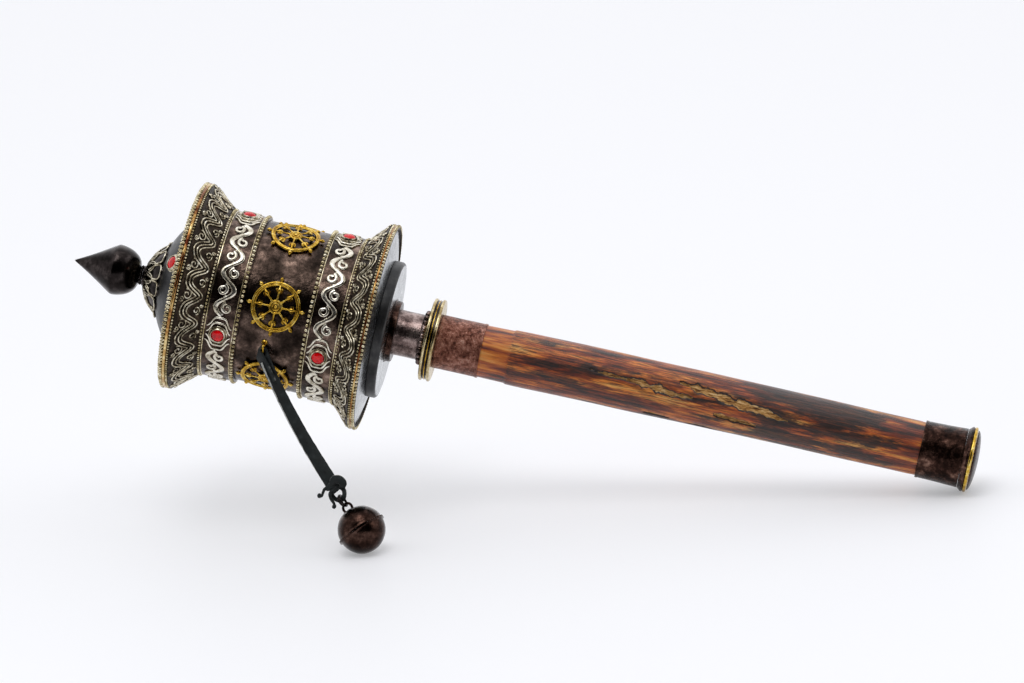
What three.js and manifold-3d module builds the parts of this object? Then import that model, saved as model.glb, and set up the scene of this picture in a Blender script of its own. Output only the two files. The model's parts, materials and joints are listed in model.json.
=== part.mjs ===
// Hand-held prayer wheel: a weighted drum that spins on the axle of a wooden grip.
// Millimetres, +Z up. The wheel lies with its axle tilted, the finial end raised towards -X.
// Inside the wheel group the axle is local Z, z = 0 is the middle of the grip and +z is the finial.
import * as THREE from "three";
import { mergeVertices } from "three/addons/utils/BufferGeometryUtils.js";
import Module from "manifold-3d";

// ---- overall -------------------------------------------------------------
const TILT_DEG = 14.75; // slope of the axle as the wheel lies
const GAP = 0.12; // air left between two fixed pieces that meet end to end
const SEAT_GAP = 0.16; // air under a piece that sits on a faceted round wall
const RUN_GAP = 0.08; // radial running clearance of the axle in its bushes
const LIFT_GAP = 0.25; // air round a piece that lifts off

// ---- handle --------------------------------------------------------------
const GRIP_LENGTH = 149.3; // bare wood between the two ferrules
const GRIP_RADIUS = 9.1; // wood at its lower end
const GRIP_SWELL = 0.25; // how much fuller the wood is below its top
const GRIP_NECK = 0.35; // how much slimmer the wood is at its top
const UPPER_FERRULE_LENGTH = 15.3;
const UPPER_FERRULE_RADIUS = 9.05;
const LOWER_FERRULE_LENGTH = 14.4;
const LOWER_FERRULE_RADIUS = 9.55;
const LOWER_FERRULE_FLARE = 0.4; // extra radius at the very end
const FERRULE_WALL = 0.7;
const END_RING_RADIUS = 11;
const END_RING_HEIGHT = 3.1;
const END_CAP_RADIUS = 10.1;
const END_CAP_HEIGHT = 1.9;
const END_CAP_FLAT = 4.5; // radius of the flat in the middle of the domed butt
const GUARD_RADIUS = 13.95;
const GUARD_RING_HEIGHT = 1.1;
const GUARD_CORE_HEIGHT = 1.3;
const GUARD_GROOVE = 0.7; // how far the dark core stays behind the two brass rings
const BEAD_COLLAR_RADIUS = 9.3;
const BEAD_COLLAR_HEIGHT = 2.1;
const NECK_RADIUS = 7.75;
const NECK_WALL = 0.8;
const NECK_LENGTH = 11.6;
const WASHER_THICKNESS = 0.5;
const AXLE_RADIUS = 2;
const AXLE_THREAD_RADIUS = 1.5;
const AXLE_IN_GRIP = 42; // depth of the axle's tang in the wood

// ---- drum ----------------------------------------------------------------
const DRUM_RADIUS = 27.2; // plain copper wall between the bands
const DRUM_WALL = 0.8;
const DRUM_OPEN_HEIGHT = 21.6; // plain wall between the two beaded edges
const BAND_HEIGHT = 10.1; // relief band between its beaded edges
const BAND_THICKNESS = 0.65;
const BEAD_RING_HEIGHT = 1.25;
const BEAD_RING_RISE = 1.55; // how far a beaded edge stands out of the wall
const RIM_RADIUS = 35.1;
const RIM_THICKNESS = 1.3;
const LOWER_RIM_HEIGHT = 2.6;
const UPPER_RIM_HEIGHT = 3.2;
const LOWER_FLARE_HEIGHT = 6.3; // axial height of the conical flare between band and rim
const UPPER_FLARE_HEIGHT = 8;
const FLARE_WALL = 0.9;
const FLOOR_CONE_DROP = 2; // how far the bright floor cone bulges below the rim
const FLOOR_CONE_WALL = 0.6;
const BASE_PLATE_RADIUS = 23.2;
const BASE_PLATE_HEIGHT = 3.2;
const BASE_PLATE_BEVEL = 0.9;
const BOSS_RADIUS = 10.3;
const BOSS_HEIGHT = 2;
const BUSH_WALL = 1.35;
const SCROLL_RADIUS = 23;
const SCROLL_HEADROOM = 15; // free height over the scroll, under the lid's brim
const SCROLL_TUBE_WALL = 0.7;

// ---- lid and finial ------------------------------------------------------
const LID_BRIM = 0.8;
const LID_SPIGOT_DEPTH = 6.5;
const LID_WALL = 1;
const DOME_SPHERE = 31.7; // radius of the lid's shallow dome
const DOME_SINK = 20.2; // depth of that sphere's centre under the brim
const CROWN_SPHERE = 13.3; // radius of the small crown on the dome
const CROWN_RISE = 2.45; // height of the crown sphere's centre over the brim
const PETAL_SHEET = 0.6;
const PETALS = 12;
const FINIAL_RADIUS = 8.55;
const FINIAL_LENGTH = 22.55;
const FINIAL_BELLY = 8; // height of the widest place over the foot
const FINIAL_NECK_RADIUS = 2.75;
const FINIAL_BORE_DEPTH = 8;
const COLLAR_RADIUS = 3.4;
const COLLAR_HEIGHT = 0.9;

// ---- ornaments on the drum, angles from the side that faces -Y, upwards --
const MEDALLION_COUNT = 6;
const MEDALLION_START_DEG = 17.6;
const MEDALLION_RADIUS = 8.4;
const MEDALLION_RING = 1.15;
const MEDALLION_HUB = 2.3;
const MEDALLION_SPOKE = 0.95;
const MEDALLION_THICKNESS = 0.9;
const MEDALLION_SEAT = 0.32; // air under the bent sheet, more than the bulge of the wall under its hub
const KNOB_RADIUS = 0.85;
const STONE_ANGLES_DEG = [-10, 89, 175, 262];
const LID_STONE_DEG = 36.6;
const LID_STONE_REACH = 20; // distance of the lid's stone from the axle
const STONE_RADIUS = 2.3;
const STONE_HEIGHT = 1.9;
const BEZEL_WALL = 0.75;
const BEZEL_HEIGHT = 1.5;

// ---- tether --------------------------------------------------------------
const LUG_ANGLE_DEG = -16;
const LUG_BELOW_TOP = 9.4; // from the top of the plain wall down to the lug
const LUG_HALF_WIDTH = 3.1;
const LUG_HEIGHT = 2.4;
const LUG_WIRE = 0.5;
const STRAP_WIDTH = 4.6;
const STRAP_THICKNESS = 1.2;
const KNOT_RING = 2.4; // middle radius of the leather loop at the strap's end
const KNOT_CORD = 0.9;
const LINK_RING = 2;
const LINK_WIRE = 0.45;
const EYE_RING = 1.6;
const EYE_WIRE = 0.45;
const EYE_STAND = 0.6; // middle of the ball's eye above the ball's skin
const CHAIN_GAP = 0.2;
const BALL_RADIUS = 8;
const BALL_WALL = 1;
const BALL_SEAM = 0.5; // how far the seam flange stands out
const BALL_SEAM_HEIGHT = 0.7;
// The strap's route as it hangs, measured from the middle of the lug's bar.
const STRAP_ROUTE = [
  [1.1, -0.9, -2.2], [1.8, -1.4, -3.9], [3, -2.2, -6.4], [5, -3.7, -10.6],
  [7.2, -5.2, -15], [9.5, -6.8, -19.3], [11.9, -8.4, -23.6], [14.4, -10, -27.8],
  [16.9, -11.5, -31.8], [19.4, -13.1, -35.6], [21.5, -14.4, -38.7], [23.1, -15.4, -41],
];

const ROUND = 36; // facets round a large ring
const SMALL_ROUND = 16;
const rad = THREE.MathUtils.degToRad;

// ---- heights along the axle, from the middle of the grip ------------------
const gripTop = GRIP_LENGTH / 2;
const ferruleTop = gripTop + UPPER_FERRULE_LENGTH;
const guardLow = ferruleTop + GAP;
const guardCoreLow = guardLow + GUARD_RING_HEIGHT + GAP;
const guardHigh = guardCoreLow + GUARD_CORE_HEIGHT + GAP;
const guardTop = guardHigh + GUARD_RING_HEIGHT;
const neckLow = guardTop + GAP;
const neckTop = neckLow + NECK_LENGTH;
const washerLow = neckTop + GAP;
const plateLow = washerLow + WASHER_THICKNESS + RUN_GAP;
const plateTop = plateLow + BASE_PLATE_HEIGHT;
const floorLow = plateTop + GAP;
const lowerRimLow = floorLow + FLOOR_CONE_DROP - LOWER_RIM_HEIGHT / 2;
const lowerFlareLow = lowerRimLow + LOWER_RIM_HEIGHT + GAP;
const lowerBand = lowerFlareLow + LOWER_FLARE_HEIGHT + GAP + BEAD_RING_HEIGHT;
const openLow = lowerBand + BAND_HEIGHT + BEAD_RING_HEIGHT;
const openTop = openLow + DRUM_OPEN_HEIGHT;
const upperBand = openTop + BEAD_RING_HEIGHT;
const upperFlareLow = upperBand + BAND_HEIGHT + BEAD_RING_HEIGHT + GAP;
const upperRimLow = upperFlareLow + UPPER_FLARE_HEIGHT + GAP;
const brimLow = upperRimLow + GAP;
const brimTop = brimLow + LID_BRIM;
const domeCentre = brimTop - DOME_SINK;
const crownCentre = brimTop + CROWN_RISE;
const capTop = crownCentre + CROWN_SPHERE + PETAL_SHEET;
const collarLow = capTop + GAP;
const finialLow = collarLow + COLLAR_HEIGHT + GAP;

// ---- looks ---------------------------------------------------------------
const LOOKS = {
  wood: ["#a8561c", 0.55, 0],
  copper: ["#7a4f45", 0.45, 0.8],
  dark_copper: ["#4a3c3a", 0.45, 0.85],
  blackened: ["#2a2422", 0.4, 0.8],
  charcoal: ["#3b3b3c", 0.45, 0.6],
  brass: ["#b8963a", 0.35, 0.9],
  silver: ["#b8b4a8", 0.3, 0.95],
  steel: ["#9a9a9c", 0.3, 0.95],
  filigree: ["#6a614c", 0.5, 0.8],
  red_stone: ["#d01018", 0.2, 0],
  paper: ["#d8c8a0", 0.9, 0],
  leather: ["#1a1f1e", 0.8, 0],
};

const part = new THREE.Group();
const wheel = new THREE.Group();
wheel.rotation.y = -rad(90 - TILT_DEG);
part.add(wheel);

function add(parent, name, geometry, look) {
  const [color, roughness, metalness] = LOOKS[look];
  const mesh = new THREE.Mesh(geometry, new THREE.MeshStandardMaterial({ color, roughness, metalness }));
  mesh.name = name;
  parent.add(mesh);
  return mesh;
}

// A turned piece about local Z. The profile lists [radius, z], up the outside and back inside.
function turned(profile, facets = ROUND) {
  const points = profile.map(([r, z]) => new THREE.Vector2(r, z));
  return new THREE.LatheGeometry(points, facets).rotateX(Math.PI / 2);
}

// A plain ring or tube with square edges.
function ring(inner, outer, low, high, facets = ROUND) {
  return turned([[inner, low], [outer, low], [outer, high], [inner, high], [inner, low]], facets);
}

// A ring whose outer face is half round.
function roundedRing(inner, outer, low, high, facets = ROUND) {
  const half = (high - low) / 2;
  const face = [-90, 0, 90].map((deg) => {
    const swell = half * 0.6;
    return [outer - swell + swell * Math.cos(rad(deg)), low + half + half * Math.sin(rad(deg))];
  });
  return turned([[inner, low], ...face, [inner, high], [inner, low]], facets);
}

// Points of a circle centred on the axle at height z, from one distance off the axle to another.
function sphereArc(radius, z, fromR, toR, steps) {
  const start = Math.asin(fromR / radius);
  const end = Math.asin(toR / radius);
  return Array.from({ length: steps + 1 }, (_, i) => {
    const angle = start + ((end - start) * i) / steps;
    return [radius * Math.sin(angle), z + radius * Math.cos(angle)];
  });
}

// Turns and moves a geometry built about Z so that it stands on the drum, facing outwards.
function standOnWall(geometry, radius, angleDeg, z) {
  const angle = rad(angleDeg);
  geometry.rotateX(Math.PI / 2).rotateZ(angle);
  return geometry.translate(radius * Math.sin(angle), -radius * Math.cos(angle), z);
}

// ---- handle --------------------------------------------------------------
function woodGrip() {
  const upperTenon = UPPER_FERRULE_RADIUS - FERRULE_WALL - LIFT_GAP;
  const lowerTenon = LOWER_FERRULE_RADIUS - FERRULE_WALL - LIFT_GAP;
  const upperEnd = ferruleTop - FERRULE_WALL - LIFT_GAP;
  const lowerEnd = -gripTop - LOWER_FERRULE_LENGTH + LIFT_GAP;
  const bore = AXLE_RADIUS + RUN_GAP;
  const at = (share) => -gripTop + GRIP_LENGTH * share;
  return turned([
    [0, lowerEnd], [lowerTenon, lowerEnd], [lowerTenon, -gripTop], [GRIP_RADIUS, -gripTop + GAP],
    [GRIP_RADIUS, at(0.3)], [GRIP_RADIUS + GRIP_SWELL / 2, at(0.5)],
    [GRIP_RADIUS + GRIP_SWELL, at(0.72)], [GRIP_RADIUS + GRIP_SWELL, at(0.86)],
    [GRIP_RADIUS - GRIP_NECK / 2, at(0.94)], [GRIP_RADIUS - GRIP_NECK, gripTop - GAP],
    [upperTenon, gripTop], [upperTenon, upperEnd], [bore, upperEnd],
    [bore, ferruleTop - AXLE_IN_GRIP - LIFT_GAP], [0, ferruleTop - AXLE_IN_GRIP - LIFT_GAP],
  ], 32);
}

function upperFerrule() {
  const low = gripTop + GAP;
  const inner = UPPER_FERRULE_RADIUS - FERRULE_WALL;
  const hole = AXLE_RADIUS + RUN_GAP;
  const seat = ferruleTop - FERRULE_WALL;
  return turned([
    [inner, low], [UPPER_FERRULE_RADIUS, low], [UPPER_FERRULE_RADIUS, ferruleTop],
    [hole, ferruleTop], [hole, seat], [inner, seat], [inner, low],
  ], 32);
}

function lowerFerrule() {
  const high = -gripTop - GAP;
  const low = -gripTop - LOWER_FERRULE_LENGTH;
  const inner = LOWER_FERRULE_RADIUS - FERRULE_WALL;
  const flared = LOWER_FERRULE_RADIUS + LOWER_FERRULE_FLARE;
  return turned([
    [inner, low], [flared, low], [LOWER_FERRULE_RADIUS, low + LOWER_FERRULE_LENGTH / 2],
    [LOWER_FERRULE_RADIUS, high], [inner, high], [inner, low],
  ], 32);
}

function endCap(high) {
  const low = high - END_CAP_HEIGHT;
  const dome = [0.4, 0.7, 1].map((share) => {
    const angle = share * Math.PI / 2;
    return [END_CAP_RADIUS * Math.sin(angle), high - END_CAP_HEIGHT * Math.cos(angle)];
  });
  return turned([[0, low], [END_CAP_FLAT, low], ...dome, [0, high]], 28);
}

function axleRod() {
  const shoulder = capTop - GAP;
  const low = ferruleTop - AXLE_IN_GRIP;
  const tip = finialLow + FINIAL_BORE_DEPTH - LIFT_GAP;
  return turned([
    [0, low], [AXLE_RADIUS, low], [AXLE_RADIUS, shoulder],
    [AXLE_THREAD_RADIUS, shoulder], [AXLE_THREAD_RADIUS, tip], [0, tip],
  ], SMALL_ROUND);
}

function buildHandle() {
  add(wheel, "wood_grip", woodGrip(), "wood");
  add(wheel, "upper_ferrule", upperFerrule(), "copper");
  add(wheel, "lower_ferrule", lowerFerrule(), "dark_copper");
  const ringHigh = -gripTop - LOWER_FERRULE_LENGTH - GAP;
  const ringLow = ringHigh - END_RING_HEIGHT;
  add(wheel, "end_ring", roundedRing(0.6 * END_RING_RADIUS, END_RING_RADIUS, ringLow, ringHigh, 32), "brass");
  add(wheel, "end_cap", endCap(ringLow - GAP), "dark_copper");
  const hole = AXLE_RADIUS + RUN_GAP;
  const core = GUARD_RADIUS - GUARD_GROOVE;
  add(wheel, "guard_lower_ring",
    roundedRing(hole, GUARD_RADIUS, guardLow, guardLow + GUARD_RING_HEIGHT, 32), "brass");
  add(wheel, "guard_core", ring(hole, core, guardCoreLow, guardCoreLow + GUARD_CORE_HEIGHT, 32), "blackened");
  add(wheel, "guard_upper_ring", roundedRing(hole, GUARD_RADIUS, guardHigh, guardTop, 32), "brass");
  const collarHole = NECK_RADIUS + SEAT_GAP;
  add(wheel, "bead_collar",
    roundedRing(collarHole, BEAD_COLLAR_RADIUS, neckLow, neckLow + BEAD_COLLAR_HEIGHT, 32), "blackened");
  add(wheel, "neck_tube", ring(NECK_RADIUS - NECK_WALL, NECK_RADIUS, neckLow, neckTop, 32), "dark_copper");
  add(wheel, "thrust_washer",
    ring(hole, NECK_RADIUS - GAP, washerLow, washerLow + WASHER_THICKNESS, SMALL_ROUND), "brass");
  add(wheel, "axle_rod", axleRod(), "steel");
}

// ---- drum ----------------------------------------------------------------
function basePlate() {
  const bossHole = NECK_RADIUS + LIFT_GAP;
  const bore = AXLE_RADIUS + RUN_GAP + BUSH_WALL + GAP;
  return turned([
    [bore, plateLow], [bossHole, plateLow], [bossHole, plateLow - BOSS_HEIGHT],
    [BOSS_RADIUS, plateLow - BOSS_HEIGHT], [BOSS_RADIUS, plateLow],
    [BASE_PLATE_RADIUS - BASE_PLATE_BEVEL, plateLow], [BASE_PLATE_RADIUS, plateLow + BASE_PLATE_BEVEL],
    [BASE_PLATE_RADIUS, plateTop], [bore, plateTop], [bore, plateLow],
  ]);
}

function floorCone() {
  const seat = BASE_PLATE_RADIUS + GAP;
  const inner = BASE_PLATE_RADIUS - 4;
  const edge = RIM_RADIUS - RIM_THICKNESS - GAP;
  const low = [[inner, floorLow], [seat, floorLow], [edge, floorLow + FLOOR_CONE_DROP]];
  const high = low.map(([r, z]) => [r, z + FLOOR_CONE_WALL]).reverse();
  return turned([...low, ...high, low[0]]);
}

function coneFloorHeight(r) {
  const seat = BASE_PLATE_RADIUS + GAP;
  const edge = RIM_RADIUS - RIM_THICKNESS - GAP;
  return floorLow + FLOOR_CONE_WALL + (FLOOR_CONE_DROP * Math.max(0, r - seat)) / (edge - seat);
}

// A sleeve round the drum whose two edges are raised and half round, as a row of beads is.
function beadedBand(low) {
  const inner = DRUM_RADIUS + SEAT_GAP;
  const sheet = inner + BAND_THICKNESS;
  const edge = DRUM_RADIUS + BEAD_RING_RISE;
  const half = BEAD_RING_HEIGHT / 2;
  const bead = (z) => [-1, 0, 1].map((side) => [edge - half * 0.7 * side * side, z + half * side]);
  const high = low + BAND_HEIGHT;
  const bottom = low - BEAD_RING_HEIGHT;
  return turned([
    [inner, bottom], ...bead(low - half), [sheet, low], [sheet, high], ...bead(high + half),
    [inner, high + BEAD_RING_HEIGHT], [inner, bottom],
  ]);
}

// A flare is a cone sheet, narrow at the band and wide at the rim.
function flare(bandZ, rimZ) {
  const narrow = DRUM_RADIUS + SEAT_GAP + FLARE_WALL;
  const wide = RIM_RADIUS - GAP;
  const profile = [[narrow - FLARE_WALL, bandZ], [narrow, bandZ], [wide, rimZ], [wide - FLARE_WALL, rimZ]];
  if (rimZ < bandZ) profile.reverse();
  return turned([...profile, profile[0]]);
}

function lowerBush() {
  const bore = AXLE_RADIUS + RUN_GAP;
  const barrel = bore + BUSH_WALL;
  const flange = plateTop + GAP;
  return turned([
    [bore, plateLow], [barrel, plateLow], [barrel, flange], [2 * barrel, flange],
    [2 * barrel, flange + 1], [bore, flange + 1], [bore, plateLow],
  ], SMALL_ROUND);
}

function buildDrum() {
  const wallLow = coneFloorHeight(DRUM_RADIUS) + 2 * GAP;
  add(wheel, "drum_wall", ring(DRUM_RADIUS - DRUM_WALL, DRUM_RADIUS, wallLow, brimLow - GAP), "dark_copper");
  add(wheel, "lower_band", beadedBand(lowerBand), "dark_copper");
  add(wheel, "upper_band", beadedBand(upperBand), "dark_copper");
  add(wheel, "lower_flare", flare(lowerFlareLow + LOWER_FLARE_HEIGHT, lowerFlareLow), "filigree");
  add(wheel, "upper_flare", flare(upperFlareLow, upperFlareLow + UPPER_FLARE_HEIGHT), "filigree");
  const rimInner = RIM_RADIUS - RIM_THICKNESS;
  add(wheel, "lower_rim", ring(rimInner, RIM_RADIUS, lowerRimLow, lowerRimLow + LOWER_RIM_HEIGHT), "brass");
  add(wheel, "upper_rim", ring(rimInner, RIM_RADIUS, upperRimLow, upperRimLow + UPPER_RIM_HEIGHT), "brass");
  add(wheel, "base_plate", basePlate(), "charcoal");
  add(wheel, "floor_cone", floorCone(), "silver");
  add(wheel, "lower_bush", lowerBush(), "brass");
  const tubeInner = AXLE_RADIUS + LIFT_GAP;
  const tubeLow = plateTop + 1 + 3 * GAP;
  const scrollTop = brimLow - SCROLL_HEADROOM;
  add(wheel, "scroll_tube",
    ring(tubeInner, tubeInner + SCROLL_TUBE_WALL, tubeLow, scrollTop + 3, SMALL_ROUND), "copper");
  const scrollInner = tubeInner + SCROLL_TUBE_WALL + SEAT_GAP;
  const scrollLow = coneFloorHeight(DRUM_RADIUS) + 1;
  add(wheel, "mantra_scroll", ring(scrollInner, SCROLL_RADIUS, scrollLow, scrollTop, 32), "paper");
}

// ---- ornaments -----------------------------------------------------------
// An eight-spoked wheel cut from sheet, with a knob on its ring beyond each spoke.
function medallionShape() {
  const shape = new THREE.Shape();
  const reach = MEDALLION_RADIUS + KNOB_RADIUS * 0.6;
  const knobHalf = Math.asin(KNOB_RADIUS / reach);
  for (let i = 0; i < 8; i += 1) {
    const angle = (i * Math.PI) / 4;
    const [x, y] = [reach * Math.cos(angle), reach * Math.sin(angle)];
    shape.absarc(x, y, KNOB_RADIUS, angle - 1.7, angle + 1.7);
    shape.absarc(0, 0, MEDALLION_RADIUS, angle + knobHalf, angle + Math.PI / 4 - knobHalf);
  }
  shape.closePath();
  const inner = MEDALLION_RADIUS - MEDALLION_RING;
  for (let i = 0; i < 8; i += 1) {
    const mid = ((i + 0.5) * Math.PI) / 4;
    const outerHalf = Math.PI / 8 - MEDALLION_SPOKE / 2 / inner;
    const hubHalf = Math.PI / 8 - MEDALLION_SPOKE / 2 / MEDALLION_HUB;
    const hole = new THREE.Path();
    hole.absarc(0, 0, inner, mid - outerHalf, mid + outerHalf);
    hole.absarc(0, 0, MEDALLION_HUB, mid + hubHalf, mid - hubHalf, true);
    hole.closePath();
    shape.holes.push(hole);
  }
  return shape;
}

// Bends a flat sheet so that it lies round the drum: x runs round the wall, y along the axle.
function wrapOnDrum(geometry, radius, angleDeg, z) {
  const position = geometry.attributes.position;
  for (let i = 0; i < position.count; i += 1) {
    const angle = rad(angleDeg) + position.getX(i) / radius;
    const reach = radius + position.getZ(i);
    position.setXYZ(i, reach * Math.sin(angle), -reach * Math.cos(angle), z + position.getY(i));
  }
  return geometry;
}

function medallion(angleDeg) {
  const sheet = new THREE.ExtrudeGeometry(medallionShape(),
    { depth: MEDALLION_THICKNESS, bevelEnabled: false, curveSegments: 2 });
  return wrapOnDrum(sheet, DRUM_RADIUS + MEDALLION_SEAT, angleDeg, (openLow + openTop) / 2);
}

function stone() {
  const dome = sphereArc(STONE_RADIUS, 0, 0, STONE_RADIUS, 3).reverse();
  const low = -STONE_HEIGHT * 0.35;
  const scaled = dome.map(([r, z]) => [r, (z * STONE_HEIGHT * 0.65) / STONE_RADIUS]);
  return turned([[0, low], [STONE_RADIUS * 0.85, low], ...scaled.slice(0, -1), [0, STONE_HEIGHT * 0.65]], 16);
}

function bezel() {
  const inner = STONE_RADIUS + GAP;
  const outer = inner + BEZEL_WALL;
  return turned([
    [inner, 0], [outer, 0], [outer, BEZEL_HEIGHT * 0.5], [outer - 0.2, BEZEL_HEIGHT],
    [inner, BEZEL_HEIGHT], [inner, 0],
  ], 14);
}

// A stone in its bezel, standing on a round wall.
function jewel(name, radius, angleDeg, z) {
  const seat = radius + GAP;
  const stoneSeat = seat + STONE_HEIGHT * 0.35;
  add(wheel, `bezel_${name}`, standOnWall(bezel(), seat, angleDeg, z), "silver");
  add(wheel, `stone_${name}`, standOnWall(stone(), stoneSeat, angleDeg, z), "red_stone");
}

function lidJewel() {
  const lean = Math.asin(LID_STONE_REACH / DOME_SPHERE);
  const direction = new THREE.Vector3(
    Math.sin(lean) * Math.sin(rad(LID_STONE_DEG)),
    -Math.sin(lean) * Math.cos(rad(LID_STONE_DEG)),
    Math.cos(lean),
  );
  const turn = new THREE.Quaternion().setFromUnitVectors(new THREE.Vector3(0, 0, 1), direction);
  const seat = DOME_SPHERE + GAP;
  const place = (geometry, lift) => geometry.applyQuaternion(turn)
    .translate(...direction.clone().multiplyScalar(seat + lift).toArray())
    .translate(0, 0, domeCentre);
  add(wheel, "bezel_lid", place(bezel(), 0), "silver");
  add(wheel, "stone_lid", place(stone(), STONE_HEIGHT * 0.35), "red_stone");
}

function buildOrnaments() {
  for (let i = 0; i < MEDALLION_COUNT; i += 1) {
    const angle = MEDALLION_START_DEG + (360 * i) / MEDALLION_COUNT;
    add(wheel, `medallion_${i + 1}`, medallion(angle), "brass");
  }
  const bandOuter = DRUM_RADIUS + SEAT_GAP + BAND_THICKNESS;
  STONE_ANGLES_DEG.forEach((angle, i) => {
    jewel(`upper_${i + 1}`, bandOuter, angle, upperBand + BAND_HEIGHT / 2);
    jewel(`lower_${i + 1}`, bandOuter, angle, lowerBand + BAND_HEIGHT / 2);
  });
  lidJewel();
}

// ---- lid and finial ------------------------------------------------------
// Height and radius where the crown's sphere runs into the dome's sphere.
function crownFoot(crown, dome) {
  const apart = crownCentre - domeCentre;
  const up = (dome * dome - crown * crown + apart * apart) / (2 * apart);
  return Math.sqrt(dome * dome - up * up);
}

function domeLid() {
  const hole = AXLE_RADIUS + RUN_GAP + BUSH_WALL + GAP;
  const foot = crownFoot(CROWN_SPHERE, DOME_SPHERE);
  const domeFoot = Math.sqrt(DOME_SPHERE ** 2 - DOME_SINK ** 2);
  const under = DOME_SPHERE - LID_WALL;
  const underFoot = Math.sqrt(under ** 2 - (DOME_SINK + GAP) ** 2);
  const spigot = DRUM_RADIUS - DRUM_WALL - LIFT_GAP;
  const brimRadius = RIM_RADIUS - RIM_THICKNESS - LIFT_GAP;
  const spigotLow = brimLow - LID_SPIGOT_DEPTH;
  return turned([
    [spigot - LID_WALL, spigotLow], [spigot, spigotLow], [spigot, brimLow], [brimRadius, brimLow],
    [brimRadius, brimTop],
    ...sphereArc(DOME_SPHERE, domeCentre, domeFoot, foot, 4),
    ...sphereArc(CROWN_SPHERE, crownCentre, foot, hole, 3).slice(1),
    ...sphereArc(under, domeCentre, hole, underFoot, 3),
    [spigot - LID_WALL, brimLow - LID_WALL], [spigot - LID_WALL, spigotLow],
  ]);
}

function petalCap() {
  const hole = AXLE_RADIUS + RUN_GAP + BUSH_WALL + GAP;
  const under = CROWN_SPHERE + GAP;
  const foot = crownFoot(CROWN_SPHERE, DOME_SPHERE);
  const skirt = foot + 1.7;
  const seat = domeCentre + Math.sqrt(DOME_SPHERE ** 2 - skirt ** 2) + GAP;
  const inside = sphereArc(under, crownCentre, hole, foot, 3);
  const outside = sphereArc(CROWN_SPHERE + PETAL_SHEET, crownCentre, foot + 0.6, hole, 3);
  const body = turned([
    [skirt - 0.2, seat], [skirt, seat + PETAL_SHEET / 2], ...outside, ...inside, [skirt - 0.2, seat],
  ]);
  return scalloped(body, skirt);
}

// Cuts the skirt of the cap into round petals.
function scalloped(geometry, reach) {
  const petals = PETALS;
  const notch = reach * 0.1;
  let solid = toSolid(geometry);
  for (let i = 0; i < petals; i += 1) {
    const angle = ((i + 0.5) * 2 * Math.PI) / petals;
    const cutter = new THREE.CylinderGeometry(notch, notch, 6, 6).rotateX(Math.PI / 2);
    cutter.translate((reach + notch * 0.45) * Math.cos(angle), (reach + notch * 0.45) * Math.sin(angle), 0);
    cutter.translate(0, 0, crownCentre + CROWN_SPHERE / 2);
    solid = solid.subtract(toSolid(cutter));
  }
  return toGeometry(solid);
}

function finial() {
  const tip = finialLow + FINIAL_LENGTH;
  const widest = finialLow + FINIAL_BELLY;
  const bore = AXLE_THREAD_RADIUS + RUN_GAP;
  const bowl = [75, 55, 35, 15, 0].map((deg) => [
    FINIAL_NECK_RADIUS + (FINIAL_RADIUS - FINIAL_NECK_RADIUS) * Math.cos(rad(deg)),
    widest - (widest - finialLow) * Math.sin(rad(deg)) ** 1.2,
  ]);
  return turned([
    [bore, finialLow], [FINIAL_NECK_RADIUS, finialLow], ...bowl,
    [FINIAL_RADIUS * 0.95, widest + 1], [FINIAL_RADIUS * 0.5, finialLow + 0.71 * FINIAL_LENGTH],
    [0, tip], [0, finialLow + FINIAL_BORE_DEPTH], [bore, finialLow + FINIAL_BORE_DEPTH], [bore, finialLow],
  ], 32);
}

function buildLid() {
  add(wheel, "dome_lid", domeLid(), "charcoal");
  add(wheel, "petal_cap", petalCap(), "filigree");
  const bore = AXLE_RADIUS + RUN_GAP;
  const bushLow = domeCentre + DOME_SPHERE - 2 * LID_WALL;
  add(wheel, "upper_bush", ring(bore, bore + BUSH_WALL, bushLow, capTop - GAP, SMALL_ROUND), "brass");
  const collarHole = AXLE_THREAD_RADIUS + RUN_GAP;
  add(wheel, "finial_collar",
    roundedRing(collarHole, COLLAR_RADIUS, collarLow, collarLow + COLLAR_HEIGHT, SMALL_ROUND), "brass");
  add(wheel, "finial", finial(), "blackened");
}

// ---- manifold helpers ----------------------------------------------------
const wasm = await Module();
wasm.setup();

function toSolid(geometry) {
  const bare = geometry.clone();
  bare.deleteAttribute("normal");
  bare.deleteAttribute("uv");
  const merged = mergeVertices(bare, 1e-4);
  return new wasm.Manifold(new wasm.Mesh({
    numProp: 3,
    vertProperties: new Float32Array(merged.attributes.position.array),
    triVerts: new Uint32Array(merged.index.array),
  }));
}

function toGeometry(solid) {
  const mesh = solid.getMesh();
  const geometry = new THREE.BufferGeometry();
  geometry.setAttribute("position", new THREE.BufferAttribute(mesh.vertProperties, 3));
  geometry.setIndex(new THREE.BufferAttribute(mesh.triVerts, 1));
  geometry.computeVertexNormals();
  return geometry;
}

// ---- tether --------------------------------------------------------------
function polygon(halfX, halfY, sides) {
  const shape = new THREE.Shape();
  for (let i = 0; i < sides; i += 1) {
    const angle = ((i + 0.5) * 2 * Math.PI) / sides;
    const [c, s] = [Math.cos(angle), Math.sin(angle)];
    const squared = Math.max(Math.abs(c), Math.abs(s)) ** 0.6;
    shape[i ? "lineTo" : "moveTo"]((halfX * c) / squared, (halfY * s) / squared);
  }
  shape.closePath();
  return shape;
}

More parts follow.
